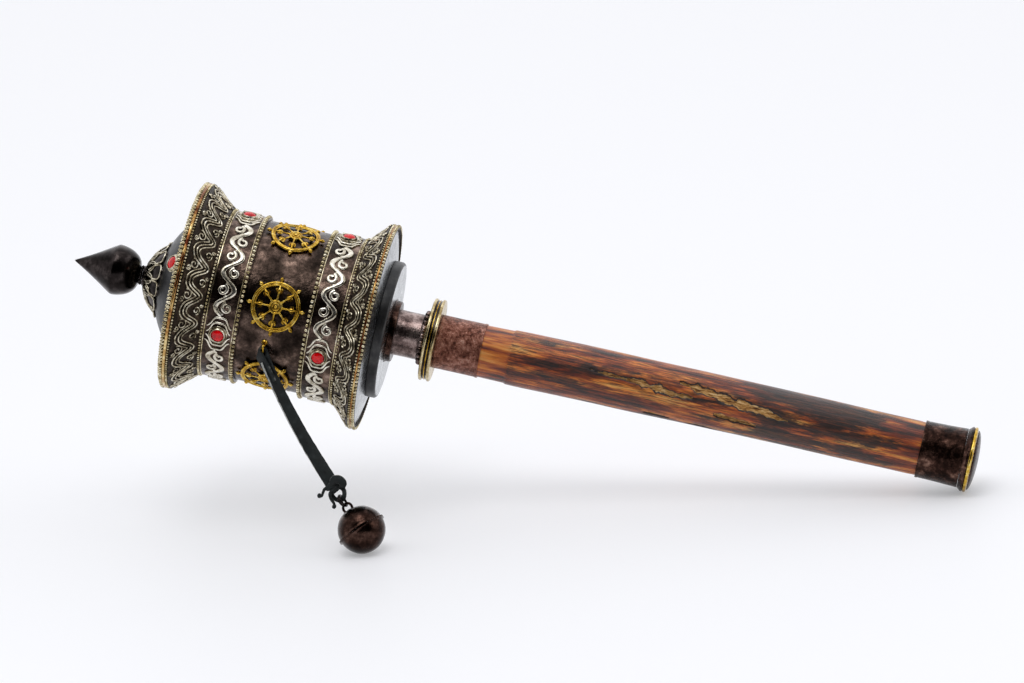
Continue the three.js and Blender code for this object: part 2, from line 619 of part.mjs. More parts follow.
// A bent wire staple: two feet on the wall and a bar across, round the drum.
function strapLug(z) {
  const foot = DRUM_RADIUS + SEAT_GAP + 0.1;
  const top = DRUM_RADIUS + LUG_HEIGHT;
  const angle = rad(LUG_ANGLE_DEG);
  const place = (across, reach) => new THREE.Vector3(
    reach * Math.sin(angle) + across * Math.cos(angle),
    -reach * Math.cos(angle) + across * Math.sin(angle),
    z,
  );
  const spread = LUG_HALF_WIDTH;
  const path = new THREE.CurvePath();
  const corners = [
    place(-spread, foot), place(-spread, top - 0.8), place(-spread + 0.8, top),
    place(spread - 0.8, top), place(spread, top - 0.8), place(spread, foot),
  ];
  for (let i = 1; i < corners.length; i += 1) path.add(new THREE.LineCurve3(corners[i - 1], corners[i]));
  return new THREE.ExtrudeGeometry(polygon(LUG_WIRE, LUG_WIRE, 8),
    { steps: 24, bevelEnabled: false, extrudePath: path });
}

// A closed round ring of wire or cord whose axis is Z, centred at the origin.
function wireRing(radius, wire, facets, sides = 8) {
  const section = Array.from({ length: sides + 1 }, (_, i) => {
    const angle = (i * 2 * Math.PI) / sides;
    return [radius + wire * Math.cos(angle), wire * Math.sin(angle)];
  });
  return turned(section, facets);
}

// Places geometry built with +Z along the tether: z measures down the tether from the knot.
function alongTether(geometry, frame) {
  return geometry.applyMatrix4(frame);
}

function tetherFrame(knot, down) {
  const side = new THREE.Vector3(0, 1, 0).cross(down).normalize();
  const front = down.clone().cross(side);
  return new THREE.Matrix4().makeBasis(side, front, down).setPosition(knot);
}

// One half of the ball, a cup whose open side faces the seam. sign +1 is the half beyond the seam.
function ballHalf(centre, sign) {
  const inner = BALL_RADIUS - BALL_WALL;
  const seam = GAP / 2;
  const outerArc = sphereArc(BALL_RADIUS, 0, 0, BALL_RADIUS, 6);
  const innerArc = sphereArc(inner, 0, 0, inner, 6).reverse();
  const profile = [
    ...outerArc.slice(0, -1), [BALL_RADIUS, BALL_SEAM_HEIGHT], [BALL_RADIUS + BALL_SEAM, BALL_SEAM_HEIGHT],
    [BALL_RADIUS + BALL_SEAM, seam], [inner, seam], ...innerArc.slice(1),
  ].map(([r, z]) => [r, centre + sign * z]);
  if (sign > 0) profile.reverse();
  return turned(profile, 20);
}

function buildTether() {
  const lugZ = openTop - LUG_BELOW_TOP;
  add(wheel, "strap_lug", strapLug(lugZ), "brass");
  const reach = DRUM_RADIUS + LUG_HEIGHT;
  const bar = new THREE.Vector3(
    reach * Math.sin(rad(LUG_ANGLE_DEG)), -reach * Math.cos(rad(LUG_ANGLE_DEG)), lugZ,
  ).applyAxisAngle(new THREE.Vector3(0, 1, 0), wheel.rotation.y);
  const route = STRAP_ROUTE.map((p) => new THREE.Vector3(...p).add(bar));
  const strap = new THREE.ExtrudeGeometry(polygon(STRAP_WIDTH / 2, STRAP_THICKNESS / 2, 12),
    { steps: 18, bevelEnabled: false, extrudePath: new THREE.CatmullRomCurve3(route) });
  add(part, "leather_strap", strap, "leather");

  const end = route[route.length - 1];
  const down = end.clone().sub(route[route.length - 3]).normalize();
  const knot = end.clone().addScaledVector(down, KNOT_RING + KNOT_CORD + GAP);
  const frame = tetherFrame(knot, down);
  const link = KNOT_RING - KNOT_CORD - LINK_WIRE - CHAIN_GAP + LINK_RING;
  const eye = link + LINK_RING - LINK_WIRE - EYE_WIRE - CHAIN_GAP + EYE_RING;
  const ball = eye + EYE_STAND + BALL_RADIUS;
  add(part, "strap_knot", alongTether(wireRing(KNOT_RING, KNOT_CORD, 20).rotateX(Math.PI / 2), frame), "leather");
  const linkRing = wireRing(LINK_RING, LINK_WIRE, 20, 6).rotateX(Math.PI / 2).rotateZ(Math.PI / 2);
  add(part, "wire_link", alongTether(linkRing.translate(0, 0, link), frame), "brass");
  const eyeRing = wireRing(EYE_RING, EYE_WIRE, 16, 6).rotateX(Math.PI / 2).translate(0, 0, eye);
  const upper = toSolid(ballHalf(ball, -1)).add(toSolid(eyeRing));
  add(part, "ball_upper_half", alongTether(toGeometry(upper), frame), "dark_copper");
  add(part, "ball_lower_half", alongTether(ballHalf(ball, 1), frame), "dark_copper");
}

buildHandle();
buildDrum();
buildOrnaments();
buildLid();
buildTether();

export default part;
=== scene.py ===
"""Hand-held prayer wheel: the visible surfaces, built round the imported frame.

Every piece is made in the wheel's own space, where z runs up the axle from the middle of the grip
and angles start at the side that faces -Y, and is then laid down into the frame's space.
"""
import json
import math

import bmesh
import bpy
from bpy.props import FloatProperty, FloatVectorProperty, IntProperty, PointerProperty
from mathutils import Matrix, Vector, noise


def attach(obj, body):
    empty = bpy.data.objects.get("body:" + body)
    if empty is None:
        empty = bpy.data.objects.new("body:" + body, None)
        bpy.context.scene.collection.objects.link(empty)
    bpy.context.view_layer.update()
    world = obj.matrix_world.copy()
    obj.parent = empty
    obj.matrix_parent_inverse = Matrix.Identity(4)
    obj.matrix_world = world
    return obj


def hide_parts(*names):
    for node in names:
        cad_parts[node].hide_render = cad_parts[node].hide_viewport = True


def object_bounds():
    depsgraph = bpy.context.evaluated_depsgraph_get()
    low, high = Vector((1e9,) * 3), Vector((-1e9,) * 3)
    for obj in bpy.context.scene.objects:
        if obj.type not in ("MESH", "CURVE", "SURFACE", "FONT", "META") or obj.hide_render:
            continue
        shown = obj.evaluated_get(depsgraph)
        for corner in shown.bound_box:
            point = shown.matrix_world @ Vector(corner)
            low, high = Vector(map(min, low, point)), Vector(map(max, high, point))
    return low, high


bl_info = {
    "name": "Prayer Wheel",
    "version": (1, 0, 0),
    "blender": (4, 5, 0),
    "location": "View3D > Sidebar > Prayer Wheel",
    "description": "Builds a hand-held prayer wheel round its packed frame",
    "category": "Object",
}

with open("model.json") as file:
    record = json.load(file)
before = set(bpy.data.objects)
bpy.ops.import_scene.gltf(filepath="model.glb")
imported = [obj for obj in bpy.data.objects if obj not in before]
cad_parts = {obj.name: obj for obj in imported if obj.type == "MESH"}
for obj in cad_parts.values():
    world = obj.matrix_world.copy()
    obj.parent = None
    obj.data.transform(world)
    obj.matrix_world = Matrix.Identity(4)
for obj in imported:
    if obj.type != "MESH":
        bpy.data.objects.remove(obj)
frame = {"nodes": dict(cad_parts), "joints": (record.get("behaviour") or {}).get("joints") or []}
CAD_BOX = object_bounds()
MM = 0.001
TAU = 2 * math.pi
noise.seed_set(3)  # noise_vector is seeded from the clock otherwise

JOINTS = {joint["name"]: joint for joint in frame["joints"]}
AXLE = Vector(JOINTS["drum_spin"]["axis"]).normalized()
UP_SIDE = Vector((0, 1, 0)).cross(AXLE)
WHEEL = Matrix((UP_SIDE, Vector((0, 1, 0)), AXLE)).transposed().to_4x4()
LEVEL = WHEEL.inverted()


# ---- measuring the frame ------------------------------------------------------
class Span:
    """How far a turned node reaches along the axle and away from it, in metres."""

    def __init__(self, node_name):
        points = [LEVEL @ v.co for v in frame["nodes"][node_name].data.vertices]
        self.rings = [(math.hypot(p.x, p.y), p.z) for p in points]
        self.low = min(z for _, z in self.rings)
        self.high = max(z for _, z in self.rings)
        self.outer = max(r for r, _ in self.rings)
        self.inner = min(r for r, _ in self.rings)
        self.middle = (self.low + self.high) / 2

    def reach(self, z, slack=0.15 * MM):
        """Largest radius of the node's corners near height z."""
        return max(r for r, height in self.rings if abs(height - z) < slack)


def centre(node_name):
    """Middle of a node's own corners in wheel space, as (radius, angle, z)."""
    points = [LEVEL @ v.co for v in frame["nodes"][node_name].data.vertices]
    middle = sum(points, Vector()) / len(points)
    return math.hypot(middle.x, middle.y), math.atan2(middle.x, -middle.y), middle.z


def on_wall(radius, angle, z):
    return Vector((radius * math.sin(angle), -radius * math.cos(angle), z))


# ---- colours and materials ----------------------------------------------------
def linear(hex_colour):
    """sRGB hex to linear RGBA."""
    channels = [int(hex_colour[i:i + 2], 16) / 255 for i in (1, 3, 5)]
    flat = [c / 12.92 if c <= 0.04045 else ((c + 0.055) / 1.055) ** 2.4 for c in channels]
    return (*flat, 1.0)


def add(tree, kind, inputs=None, stops=None, **settings):
    """Adds a node with its settings, its input values or links, and a ramp's stops."""
    made = tree.nodes.new(kind)
    for key, value in settings.items():
        setattr(made, key, value)
    for socket, value in (inputs or {}).items():
        if isinstance(value, bpy.types.NodeSocket):
            tree.links.new(value, made.inputs[socket])
        else:
            made.inputs[socket].default_value = value
    if stops:
        ramp = made.color_ramp.elements
        while len(ramp) < len(stops):
            ramp.new(0.5)
        for element, (place, colour) in zip(ramp, stops):
            element.position = place
            element.color = linear(colour)
    return made


def new_material(name, **shader):
    """An empty material with one Principled shader whose plain values are set on its own sockets."""
    material = bpy.data.materials.new(name)
    material.use_nodes = True
    tree = material.node_tree
    principled = tree.nodes["Principled BSDF"]
    for socket, value in shader.items():
        principled.inputs[socket.replace("_", " ")].default_value = value
    return material, tree, principled


def along_axle(tree):
    """Object coordinates turned so that z runs along the axle."""
    place = add(tree, "ShaderNodeTexCoord")
    turn = LEVEL.to_euler()
    return add(tree, "ShaderNodeMapping", {"Vector": place.outputs["Object"], "Rotation": turn}).outputs[0]


def bump(tree, principled, height, distance, strength=1.0):
    made = add(tree, "ShaderNodeBump",
               {"Height": height, "Distance": distance, "Strength": strength})
    tree.links.new(made.outputs[0], principled.inputs["Normal"])


def patina(name, stops, mottle_mm, metallic, rough, scratch=0.03, grit=0.72):
    """Metal that has aged unevenly: colour drifts over mottles, polish over smaller ones."""
    material, tree, principled = new_material(name, Metallic=metallic)
    place = add(tree, "ShaderNodeTexCoord").outputs["Object"]
    mottle = add(tree, "ShaderNodeTexNoise", {
        "Vector": place, "Scale": 1000 / mottle_mm, "Detail": 9.0, "Roughness": grit})
    ramp = add(tree, "ShaderNodeValToRGB", {"Fac": mottle.outputs["Fac"]}, stops=stops)
    tree.links.new(ramp.outputs["Color"], principled.inputs["Base Color"])
    polish = add(tree, "ShaderNodeTexNoise", {
        "Vector": place, "Scale": 2600 / mottle_mm, "Detail": 5.0, "Roughness": 0.65})
    spread = add(tree, "ShaderNodeMapRange", {
        "Value": polish.outputs["Fac"], "From Min": 0.32, "From Max": 0.68,
        "To Min": rough[0], "To Max": rough[1]})
    tree.links.new(spread.outputs[0], principled.inputs["Roughness"])
    dents = add(tree, "ShaderNodeMath", {0: mottle.outputs["Fac"], 1: polish.outputs["Fac"]},
        operation="ADD")
    bump(tree, principled, dents.outputs[0], scratch * MM, 1.0)
    return material


def make_coral():
    """Polished red coral-glass cabochon: clear gloss over a deep even red."""
    material, tree, principled = new_material(
        "polished_red_cabochon", Roughness=0.1, Specular_IOR_Level=0.42)
    place = add(tree, "ShaderNodeTexCoord").outputs["Object"]
    cloud = add(tree, "ShaderNodeTexNoise", {"Vector": place, "Scale": 600.0, "Detail": 3.0})
    ramp = add(tree, "ShaderNodeValToRGB", {"Fac": cloud.outputs["Fac"]},
               stops=[(0.3, "#a80006"), (0.55, "#e20008"), (0.8, "#ff1018")])
    tree.links.new(ramp.outputs["Color"], principled.inputs["Base Color"])
    bump(tree, principled, cloud.outputs["Fac"], 0.02 * MM, 0.4)
    return material


def make_leather():
    """Black-dyed hide: fine grain on the faces, raw grey fibre on the cut edges."""
    material, tree, principled = new_material("black_dyed_hide", Specular_IOR_Level=0.35)
    place = add(tree, "ShaderNodeTexCoord").outputs["Object"]
    grain = add(tree, "ShaderNodeTexVoronoi", {"Vector": place, "Scale": 1800.0})
    cloud = add(tree, "ShaderNodeTexNoise", {"Vector": place, "Scale": 420.0, "Detail": 6.0})
    hide = add(tree, "ShaderNodeValToRGB", {"Fac": cloud.outputs["Fac"]},
               stops=[(0.3, "#0c1010"), (0.55, "#191f1f"), (0.8, "#333838")])
    edge = add(tree, "ShaderNodeAttribute", attribute_name="raw_edge")
    raw = add(tree, "ShaderNodeMath", {0: edge.outputs["Fac"], 1: cloud.outputs["Fac"]},
        operation="MULTIPLY")
    share = add(tree, "ShaderNodeMapRange", {
        "Value": raw.outputs[0], "From Min": 0.3, "From Max": 0.44, "To Min": 0.0, "To Max": 1.0})
    mixed = add(tree, "ShaderNodeMix", {
        0: share.outputs[0], 6: hide.outputs["Color"], 7: linear("#a9aaa4")}, data_type="RGBA")
    tree.links.new(mixed.outputs[2], principled.inputs["Base Color"])
    rough = add(tree, "ShaderNodeMapRange", {
        "Value": cloud.outputs["Fac"], "From Min": 0.3, "From Max": 0.7, "To Min": 0.55, "To Max": 0.85})
    tree.links.new(rough.outputs[0], principled.inputs["Roughness"])
    bump(tree, principled, grain.outputs["Distance"], 0.06 * MM, 0.6)
    return material


def make_paper():
    """Rolled block-printed paper seen from outside: fibrous and sallow."""
    material, tree, principled = new_material("sallow_rolled_paper", Roughness=0.9)
    place = along_axle(tree)
    fibre = add(tree, "ShaderNodeTexNoise", {"Vector": place, "Scale": 900.0, "Detail": 5.0})
    ramp = add(tree, "ShaderNodeValToRGB", {"Fac": fibre.outputs["Fac"]},
               stops=[(0.3, "#a8925e"), (0.6, "#d3c193"), (0.85, "#e6dab6")])
    tree.links.new(ramp.outputs["Color"], principled.inputs["Base Color"])
    bump(tree, principled, fibre.outputs["Fac"], 0.05 * MM, 0.6)
    return material


def make_wood():
    """Burnished hardwood with charred streaks along the grain and raw tan hollows."""
    material, tree, principled = new_material("charred_burnished_hardwood", Coat_Weight=0.12,
        Coat_Roughness=0.3)
    place = along_axle(tree)

    def grain(across_mm, along_mm, detail, rough, shift=0.0, distortion=0.0):
        stretch = add(tree, "ShaderNodeMapping", {
            "Vector": place, "Scale": (1.0, 1.0, across_mm / along_mm),
            "Location": (shift, shift * 0.7, shift)})
        return add(tree, "ShaderNodeTexNoise", {
            "Vector": stretch.outputs[0], "Scale": 1000 / across_mm, "Detail": detail, "Roughness": rough,
            "Distortion": distortion}).outputs["Fac"]

    base = add(tree, "ShaderNodeValToRGB", {"Fac": grain(2.6, 26, 6.0, 0.6)}, stops=[
        (0.36, "#2e0f06"), (0.43, "#74290c"), (0.5, "#ad4f14"), (0.57, "#d67b26"), (0.68, "#e4a858")])
    fine = grain(0.45, 7, 7.0, 0.75, 0.02)
    pores = add(tree, "ShaderNodeMapRange", {
        "Value": fine, "From Min": 0.43, "From Max": 0.55, "To Min": 0.2, "To Max": 1.12})
    plain = add(tree, "ShaderNodeAttribute", attribute_name="plain").outputs["Fac"]
    share = add(tree, "ShaderNodeMapRange", {"Value": plain, "To Min": 1.0, "To Max": 0.25})
    toned = add(tree, "ShaderNodeMix", {0: share.outputs[0], 6: base.outputs["Color"], 7: pores.outputs[0]},
                data_type="RGBA", blend_type="MULTIPLY")
    scorch = add(tree, "ShaderNodeAttribute", attribute_name="scorch").outputs["Fac"]
    heat = add(tree, "ShaderNodeMath", {0: grain(4.5, 22, 8.0, 0.68, 0.031), 1: scorch}, operation="ADD")
    charred = add(tree, "ShaderNodeMapRange", {
        "Value": heat.outputs[0], "From Min": 0.5, "From Max": 0.58, "To Min": 0.0, "To Max": 0.95})
    char_colour = add(tree, "ShaderNodeValToRGB", {"Fac": fine}, stops=[
        (0.42, "#0f0806"), (0.51, "#28130c"), (0.6, "#57260f")])
    burnt = add(tree, "ShaderNodeMix", {
        0: charred.outputs[0], 6: toned.outputs[2], 7: char_colour.outputs["Color"]}, data_type="RGBA")
    hollow = add(tree, "ShaderNodeAttribute", attribute_name="hollow").outputs["Fac"]
    lip = add(tree, "ShaderNodeMapRange", {
        "Value": hollow, "From Min": 0.02, "From Max": 0.1, "To Min": 0.0, "To Max": 0.97})
    lipped = add(tree, "ShaderNodeMix", {
        0: lip.outputs[0], 6: burnt.outputs[2], 7: linear("#120a07")}, data_type="RGBA")
    ragged = add(tree, "ShaderNodeMath", {0: hollow, 1: fine}, operation="MULTIPLY")
    raw = add(tree, "ShaderNodeMapRange", {
        "Value": ragged.outputs[0], "From Min": 0.24, "From Max": 0.33, "To Min": 0.0, "To Max": 1.0})
    tan = add(tree, "ShaderNodeValToRGB", {"Fac": grain(0.7, 5, 6.0, 0.8, 0.05)}, stops=[
        (0.4, "#43240c"), (0.46, "#a06c30"), (0.53, "#d3a05c"), (0.62, "#f3d6a0")])
    finished = add(tree, "ShaderNodeMix", {
        0: raw.outputs[0], 6: lipped.outputs[2], 7: tan.outputs["Color"]}, data_type="RGBA")
    tree.links.new(finished.outputs[2], principled.inputs["Base Color"])
    rough = add(tree, "ShaderNodeMapRange", {
        "Value": raw.outputs[0], "From Min": 0.0, "From Max": 1.0, "To Min": 0.36, "To Max": 0.85})
    tree.links.new(rough.outputs[0], principled.inputs["Roughness"])
    bump(tree, principled, fine, 0.35 * MM, 0.8)
    return material


# Aged metals: name, colours over the mottle, mottle size in millimetres, how metallic, range of roughness,
# depth of the pits in millimetres, and how fine the grain of the mottle runs.
PATINAS = {
    # Sheet copper, blackened and rubbed back: grey-brown with pinkish rubbed patches.
    "antiqued_copper": ("antiqued_copper_sheet",
        [(0.34, "#17120f"), (0.45, "#2f2621"), (0.53, "#4c3e37"), (0.61, "#786459"), (0.74, "#b59d90")], 8,
        1.0, (0.18, 0.34), 0.22, 0.68),
    # Red-brown copper tube, blotched by handling and heat, finely pitted.
    "ferrule_copper": ("aged_copper_tube",
        [(0.36, "#1f120e"), (0.44, "#573329"), (0.51, "#845648"), (0.58, "#a97a6a"), (0.68, "#dcb9a8")],
        2.6, 1.0, (0.22, 0.5), 0.4, 0.85),
    # The butt ferrule's copper is nearly black brown, with only a few warm patches.
    "dark_ferrule": ("smoked_copper_tube",
        [(0.38, "#130c0a"), (0.49, "#2c1d18"), (0.58, "#4f3830"), (0.72, "#8f7062")], 4, 1.0, (0.16, 0.36),
        0.16),
    # Blackened sheet behind the wires: dull, with brown in the hollows.
    "ground": ("blackened_ground_sheet",
        [(0.3, "#120d09"), (0.52, "#2e241b"), (0.72, "#5c4b3a")], 2.5, 0.85, (0.3, 0.55), 0.12),
    # White-metal wire rubbed bright on top, with the blackening left lower down.
    "wire": ("rubbed_white_metal_wire",
        [(0.34, "#3c352b"), (0.45, "#918670"), (0.54, "#cfc6ae"), (0.68, "#f8f4e6")], 2.2, 1.0,
        (0.18, 0.34), 0.04),
    # Polished white-metal relief, almost mirror bright with faint tarnish.
    "relief": ("polished_white_metal_relief",
        [(0.28, "#6a6152"), (0.42, "#b9b09c"), (0.56, "#ebe5d6"), (0.8, "#fffcf2")], 3, 1.0, (0.12, 0.3),
        0.05),
    # Small cast beads of pale gilt metal.
    "beads": ("pale_gilt_beads",
        [(0.32, "#574a30"), (0.44, "#a3946c"), (0.54, "#d8ccaa"), (0.7, "#fbf6e4")], 3, 1.0, (0.16, 0.32),
        0.02),
    # Yellow brass, bright on the high places and brown where fingers don't rub.
    "brass": ("rubbed_yellow_brass",
        [(0.3, "#4a3410"), (0.42, "#9c7826"), (0.53, "#d3aa3e"), (0.68, "#f7e492")], 2.5, 1.0, (0.16, 0.34),
        0.04),
    # Rim strip of gilt copper, worn through to red copper in long patches.
    "rim": ("worn_gilt_strip",
        [(0.4, "#4a2214"), (0.47, "#8a5a34"), (0.53, "#c09a5c"), (0.64, "#ead9a4")], 9, 1.0, (0.16, 0.3),
        0.04),
    # Smooth charcoal chemical patina on spun sheet.
    "charcoal": ("charcoal_patina_sheet",
        [(0.3, "#1f1f20"), (0.5, "#363637"), (0.66, "#4c4b4a"), (0.82, "#6a6764")], 9, 0.8, (0.3, 0.42),
        0.03),
    # Bright spun white metal under the drum, clean enough to mirror what is below it.
    "bright": ("spun_white_metal",
        [(0.3, "#86888a"), (0.55, "#adb0b2"), (0.8, "#dcdedf")], 6, 1.0, (0.14, 0.3), 0.05),
    # Turned metal, blackened and waxed, with brown rubbed edges.
    "blackened": ("blackened_turned_metal",
        [(0.36, "#141110"), (0.5, "#2b2625"), (0.62, "#4a4341"), (0.78, "#7d706c")], 6, 1.0, (0.12, 0.26),
        0.06),
    # Pressed bronze ball, brown with pinkish worn spots and pitting.
    "ball": ("pitted_bronze_pressing",
        [(0.36, "#120b09"), (0.48, "#2a1c17"), (0.58, "#47342d"), (0.72, "#80695f")], 6, 1.0, (0.08, 0.24),
        0.1),
    # Drawn steel rod.
    "steel": ("drawn_steel_rod",
        [(0.3, "#7b7c7e"), (0.8, "#a9aaac")], 6, 1.0, (0.25, 0.4), 0.02),
    # Neck tube, silvered copper wearing through: near mirror with pink and grey clouds.
    "neck": ("worn_silvered_tube",
        [(0.32, "#2b2322"), (0.46, "#6b5a56"), (0.58, "#a08d88"), (0.74, "#c8b8b2")], 5, 1.0, (0.16, 0.34),
        0.1),
    # High-zinc brass rings, pale as straw, with brown left in the grooves.
    "pale_brass": ("pale_straw_brass",
        [(0.3, "#6a5530"), (0.45, "#ab966a"), (0.58, "#d6c69c"), (0.75, "#f2e9cb")], 4, 1.0, (0.18, 0.32),
        0.04),
}
MAKERS = {"coral": make_coral, "leather": make_leather, "paper": make_paper, "wood": make_wood}
made_finishes = {}


def finish(name):
    if name not in made_finishes:
        made_finishes[name] = patina(*PATINAS[name]) if name in PATINAS else MAKERS[name]()
    return made_finishes[name]


# ---- mesh helpers -------------------------------------------------------------
def piece(name, bm, body, material, replaces=(), sharp=35, space=WHEEL):
    """Turns a finished bmesh in wheel space into a piece that rides on a body."""
    for edge in bm.edges:
        if len(edge.link_faces) == 2:
            edge.smooth = edge.calc_face_angle(0) < math.radians(sharp)
    for face in bm.faces:
        face.smooth = True
    mesh = bpy.data.meshes.new(name)
    bm.to_mesh(mesh)
    bm.free()
    return settle(name, mesh, body, material, replaces, space)


def settle(name, mesh, body, material, replaces, space=WHEEL):
    mesh.transform(space)
    mesh.materials.clear()
    mesh.materials.append(finish(material))
    made = bpy.data.objects.new(name, mesh)
    bpy.context.scene.collection.objects.link(made)
    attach(made, body)
    if replaces:
        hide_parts(*replaces)
    return made


def spin_profile(bm, profile, steps):
    """Spins a profile of (radius, z) round the axle and closes it; the profile runs up the outside."""
    corners = [bm.verts.new((r, 0, z)) for r, z in profile]
    edges = [bm.edges.new(pair) for pair in zip(corners, corners[1:])]
    if profile[0][0] > 1e-7 or profile[-1][0] > 1e-7:
        edges.append(bm.edges.new((corners[-1], corners[0])))
    bmesh.ops.spin(bm, geom=corners + edges, axis=(0, 0, 1), cent=(0, 0, 0), steps=steps,
                   angle=TAU, use_merge=True)
    bmesh.ops.remove_doubles(bm, verts=bm.verts, dist=1e-6)
    bmesh.ops.recalc_face_normals(bm, faces=bm.faces)


def turned(profile, steps=144, soften=0.0):
    """A turned solid; sharp rings are rolled over by a small bevel of radius soften."""
    bm = bmesh.new()
    spin_profile(bm, profile, steps)
    if soften:
        creases = [e for e in bm.edges
                   if len(e.link_faces) == 2 and e.calc_face_angle(0) > math.radians(28)]
        bmesh.ops.bevel(bm, geom=creases, offset=soften, offset_type="OFFSET", affect="EDGES",
                        segments=2, profile=0.5, material=-1, clamp_overlap=True)
    return bm


def arc(radius, z, from_r, to_r, steps):
    """Points of a sphere's outline centred on the axle at z."""
    start, end = math.asin(min(1, from_r / radius)), math.asin(min(1, to_r / radius))
    angles = [start + (end - start) * i / steps for i in range(steps + 1)]
    return [(radius * math.sin(a), z + radius * math.cos(a)) for a in angles]


def swell(profile_from, profile_to, bulge, steps=8):
    """Points of a shallow bow between two profile points, standing out by bulge."""
    (r0, z0), (r1, z1) = profile_from, profile_to
    return [(r0 + (r1 - r0) * t + bulge * math.sin(math.pi * t), z0 + (z1 - z0) * t)
            for t in (i / steps for i in range(steps + 1))]


def add_beads(bm, radius, z, bead_radius, pitch, offset=0.0):
    """A row of small balls round the axle, evenly spaced at about the pitch."""
    count = round(TAU * radius / pitch)
    place = Matrix.Translation(on_wall(radius, offset * TAU / count, z))
    first = bmesh.ops.create_uvsphere(bm, u_segments=8, v_segments=6, radius=bead_radius,
        matrix=place)["verts"]
    around(bm, first, count)


def around(bm, corners, count):
    """Copies the shape that the corners belong to, evenly round the axle."""
    edges = list(dict.fromkeys(e for v in corners for e in v.link_edges))
    faces = list(dict.fromkeys(f for v in corners for f in v.link_faces))
    bmesh.ops.spin(bm, geom=corners + edges + faces, axis=(0, 0, 1), cent=(0, 0, 0), steps=count - 1,
                   angle=TAU * (count - 1) / count, use_duplicate=True)


def add_ball(bm, place, radius, fineness=3):
    bmesh.ops.create_icosphere(bm, subdivisions=fineness, radius=radius, matrix=Matrix.Translation(place))


def add_torus(bm, radius, wire, place, steps=40, sides=10):
    """A ring of round wire about the local Z of the matrix place."""
    ring = bmesh.new()
    section = Matrix.Translation((radius, 0, 0)) @ Matrix.Rotation(math.pi / 2, 4, "X")
    bmesh.ops.create_circle(ring, segments=sides, radius=wire, matrix=section)
    bmesh.ops.spin(ring, geom=ring.verts[:] + ring.edges[:], axis=(0, 0, 1), cent=(0, 0, 0), steps=steps,
                   angle=TAU, use_merge=True)
    bmesh.ops.recalc_face_normals(ring, faces=ring.faces)
    bmesh.ops.transform(ring, verts=ring.verts, matrix=place)
    mesh = bpy.data.meshes.new("ring")
    ring.to_mesh(mesh)
    ring.free()
    absorb(bm, mesh)


def wires(paths, radius, sides=3, closed=False):
    """A mesh of round wires along lists of points; a path may be (points, radii)."""
    curve = bpy.data.curves.new("wires", "CURVE")
    curve.dimensions = "3D"
    curve.bevel_depth = radius
    curve.bevel_resolution = sides - 2
    curve.use_fill_caps = not closed
    for path in paths:
        points, thickness = path if isinstance(path, tuple) else (path, [1.0] * len(path))
        spline = curve.splines.new("POLY")
        spline.points.add(len(points) - 1)
        for corner, place, share in zip(spline.points, points, thickness):
            corner.co = (*place, 1)
            corner.radius = share
        spline.use_cyclic_u = closed
    holder = bpy.data.objects.new("wires", curve)
    bpy.context.scene.collection.objects.link(holder)
    mesh = bpy.data.meshes.new_from_object(holder.evaluated_get(bpy.context.evaluated_depsgraph_get()))
    bpy.data.objects.remove(holder)
    bpy.data.curves.remove(curve)
    mesh.shade_smooth()
    return mesh


def bridge(bm, rings):
    """Joins closed rings of corners, one after another, into a tube with closed ends."""
    loops = [[bm.edges.new((ring[k - 1], ring[k])) for k in range(len(ring))] for ring in rings]
    for lower, upper in zip(loops, loops[1:]):
        bmesh.ops.bridge_loops(bm, edges=lower + upper)
    for loop in (loops[0], loops[-1]):
        bmesh.ops.contextual_create(bm, geom=loop)
    bmesh.ops.recalc_face_normals(bm, faces=bm.faces)


def absorb(bm, mesh):
    bm.from_mesh(mesh)
    bpy.data.meshes.remove(mesh)


# ---- sizes and colours a user may change --------------------------------------
class PrayerWheelSizes(bpy.types.PropertyGroup):
    """Sizes of the ornament, in metres."""

    small_bead: FloatProperty(
        name="Small bead", description="Radius of the small beads", default=0.5 * MM, unit="LENGTH")
    large_bead: FloatProperty(
        name="Large bead", description="Radius of the large rim beads", default=0.76 * MM, unit="LENGTH")
    filigree_wire: FloatProperty(
        name="Filigree wire", description="Radius of the wire on the flares", default=0.29 * MM,
        unit="LENGTH")
    relief_wire: FloatProperty(
        name="Relief", description="Radius of the bold relief on the bands", default=0.72 * MM,
        unit="LENGTH")
    flare_repeats: IntProperty(
        name="Flare repeats", description="How many times the flare's pattern repeats", default=20, min=4)
    collar_beads: IntProperty(
        name="Collar beads", description="Beads on the neck's collar", default=22, min=6)


class PrayerWheelStage(bpy.types.PropertyGroup):
    """The floor and the light."""

    floor_colour: FloatVectorProperty(
        name="Floor", description="Colour of the floor", subtype="COLOR", size=3,
        default=linear("#cfcfd2")[:3])
    key_power: FloatProperty(
        name="Key light", description="Power of the large overhead light", default=5.5, unit="POWER")


def sizes():
    return bpy.context.scene.prayer_wheel_sizes


# ---- strap --------------------------------------------------------------------
# The strap's route as it hangs, from the middle of the lug's bar, in millimetres.
STRAP_ROUTE = [
    (1.1, -0.9, -2.2), (1.8, -1.4, -3.9), (3, -2.2, -6.4), (5, -3.7, -10.6),
    (7.2, -5.2, -15), (9.5, -6.8, -19.3), (11.9, -8.4, -23.6), (14.4, -10, -27.8),
    (16.9, -11.5, -31.8), (19.4, -13.1, -35.6), (21.5, -14.4, -38.7), (23.1, -15.4, -41),
]
STRAP_WIDTH = 4.6 * MM
STRAP_THICKNESS = 1.1 * MM


def smooth_route(points, steps):
    """Catmull-Rom curve through the points, evenly stepped between each pair."""
    ends = [points[0] * 2 - points[1], *points, points[-1] * 2 - points[-2]]
    route = []
    for a, b, c, d in zip(ends, ends[1:], ends[2:], ends[3:]):
        for i in range(steps):
            t = i / steps
            route.append(0.5 * (2 * b + (c - a) * t + (2 * a - 5 * b + 4 * c - d) * t * t
                                + (3 * b - a - 3 * c + d) * t ** 3))
    return [*route, points[-1]]


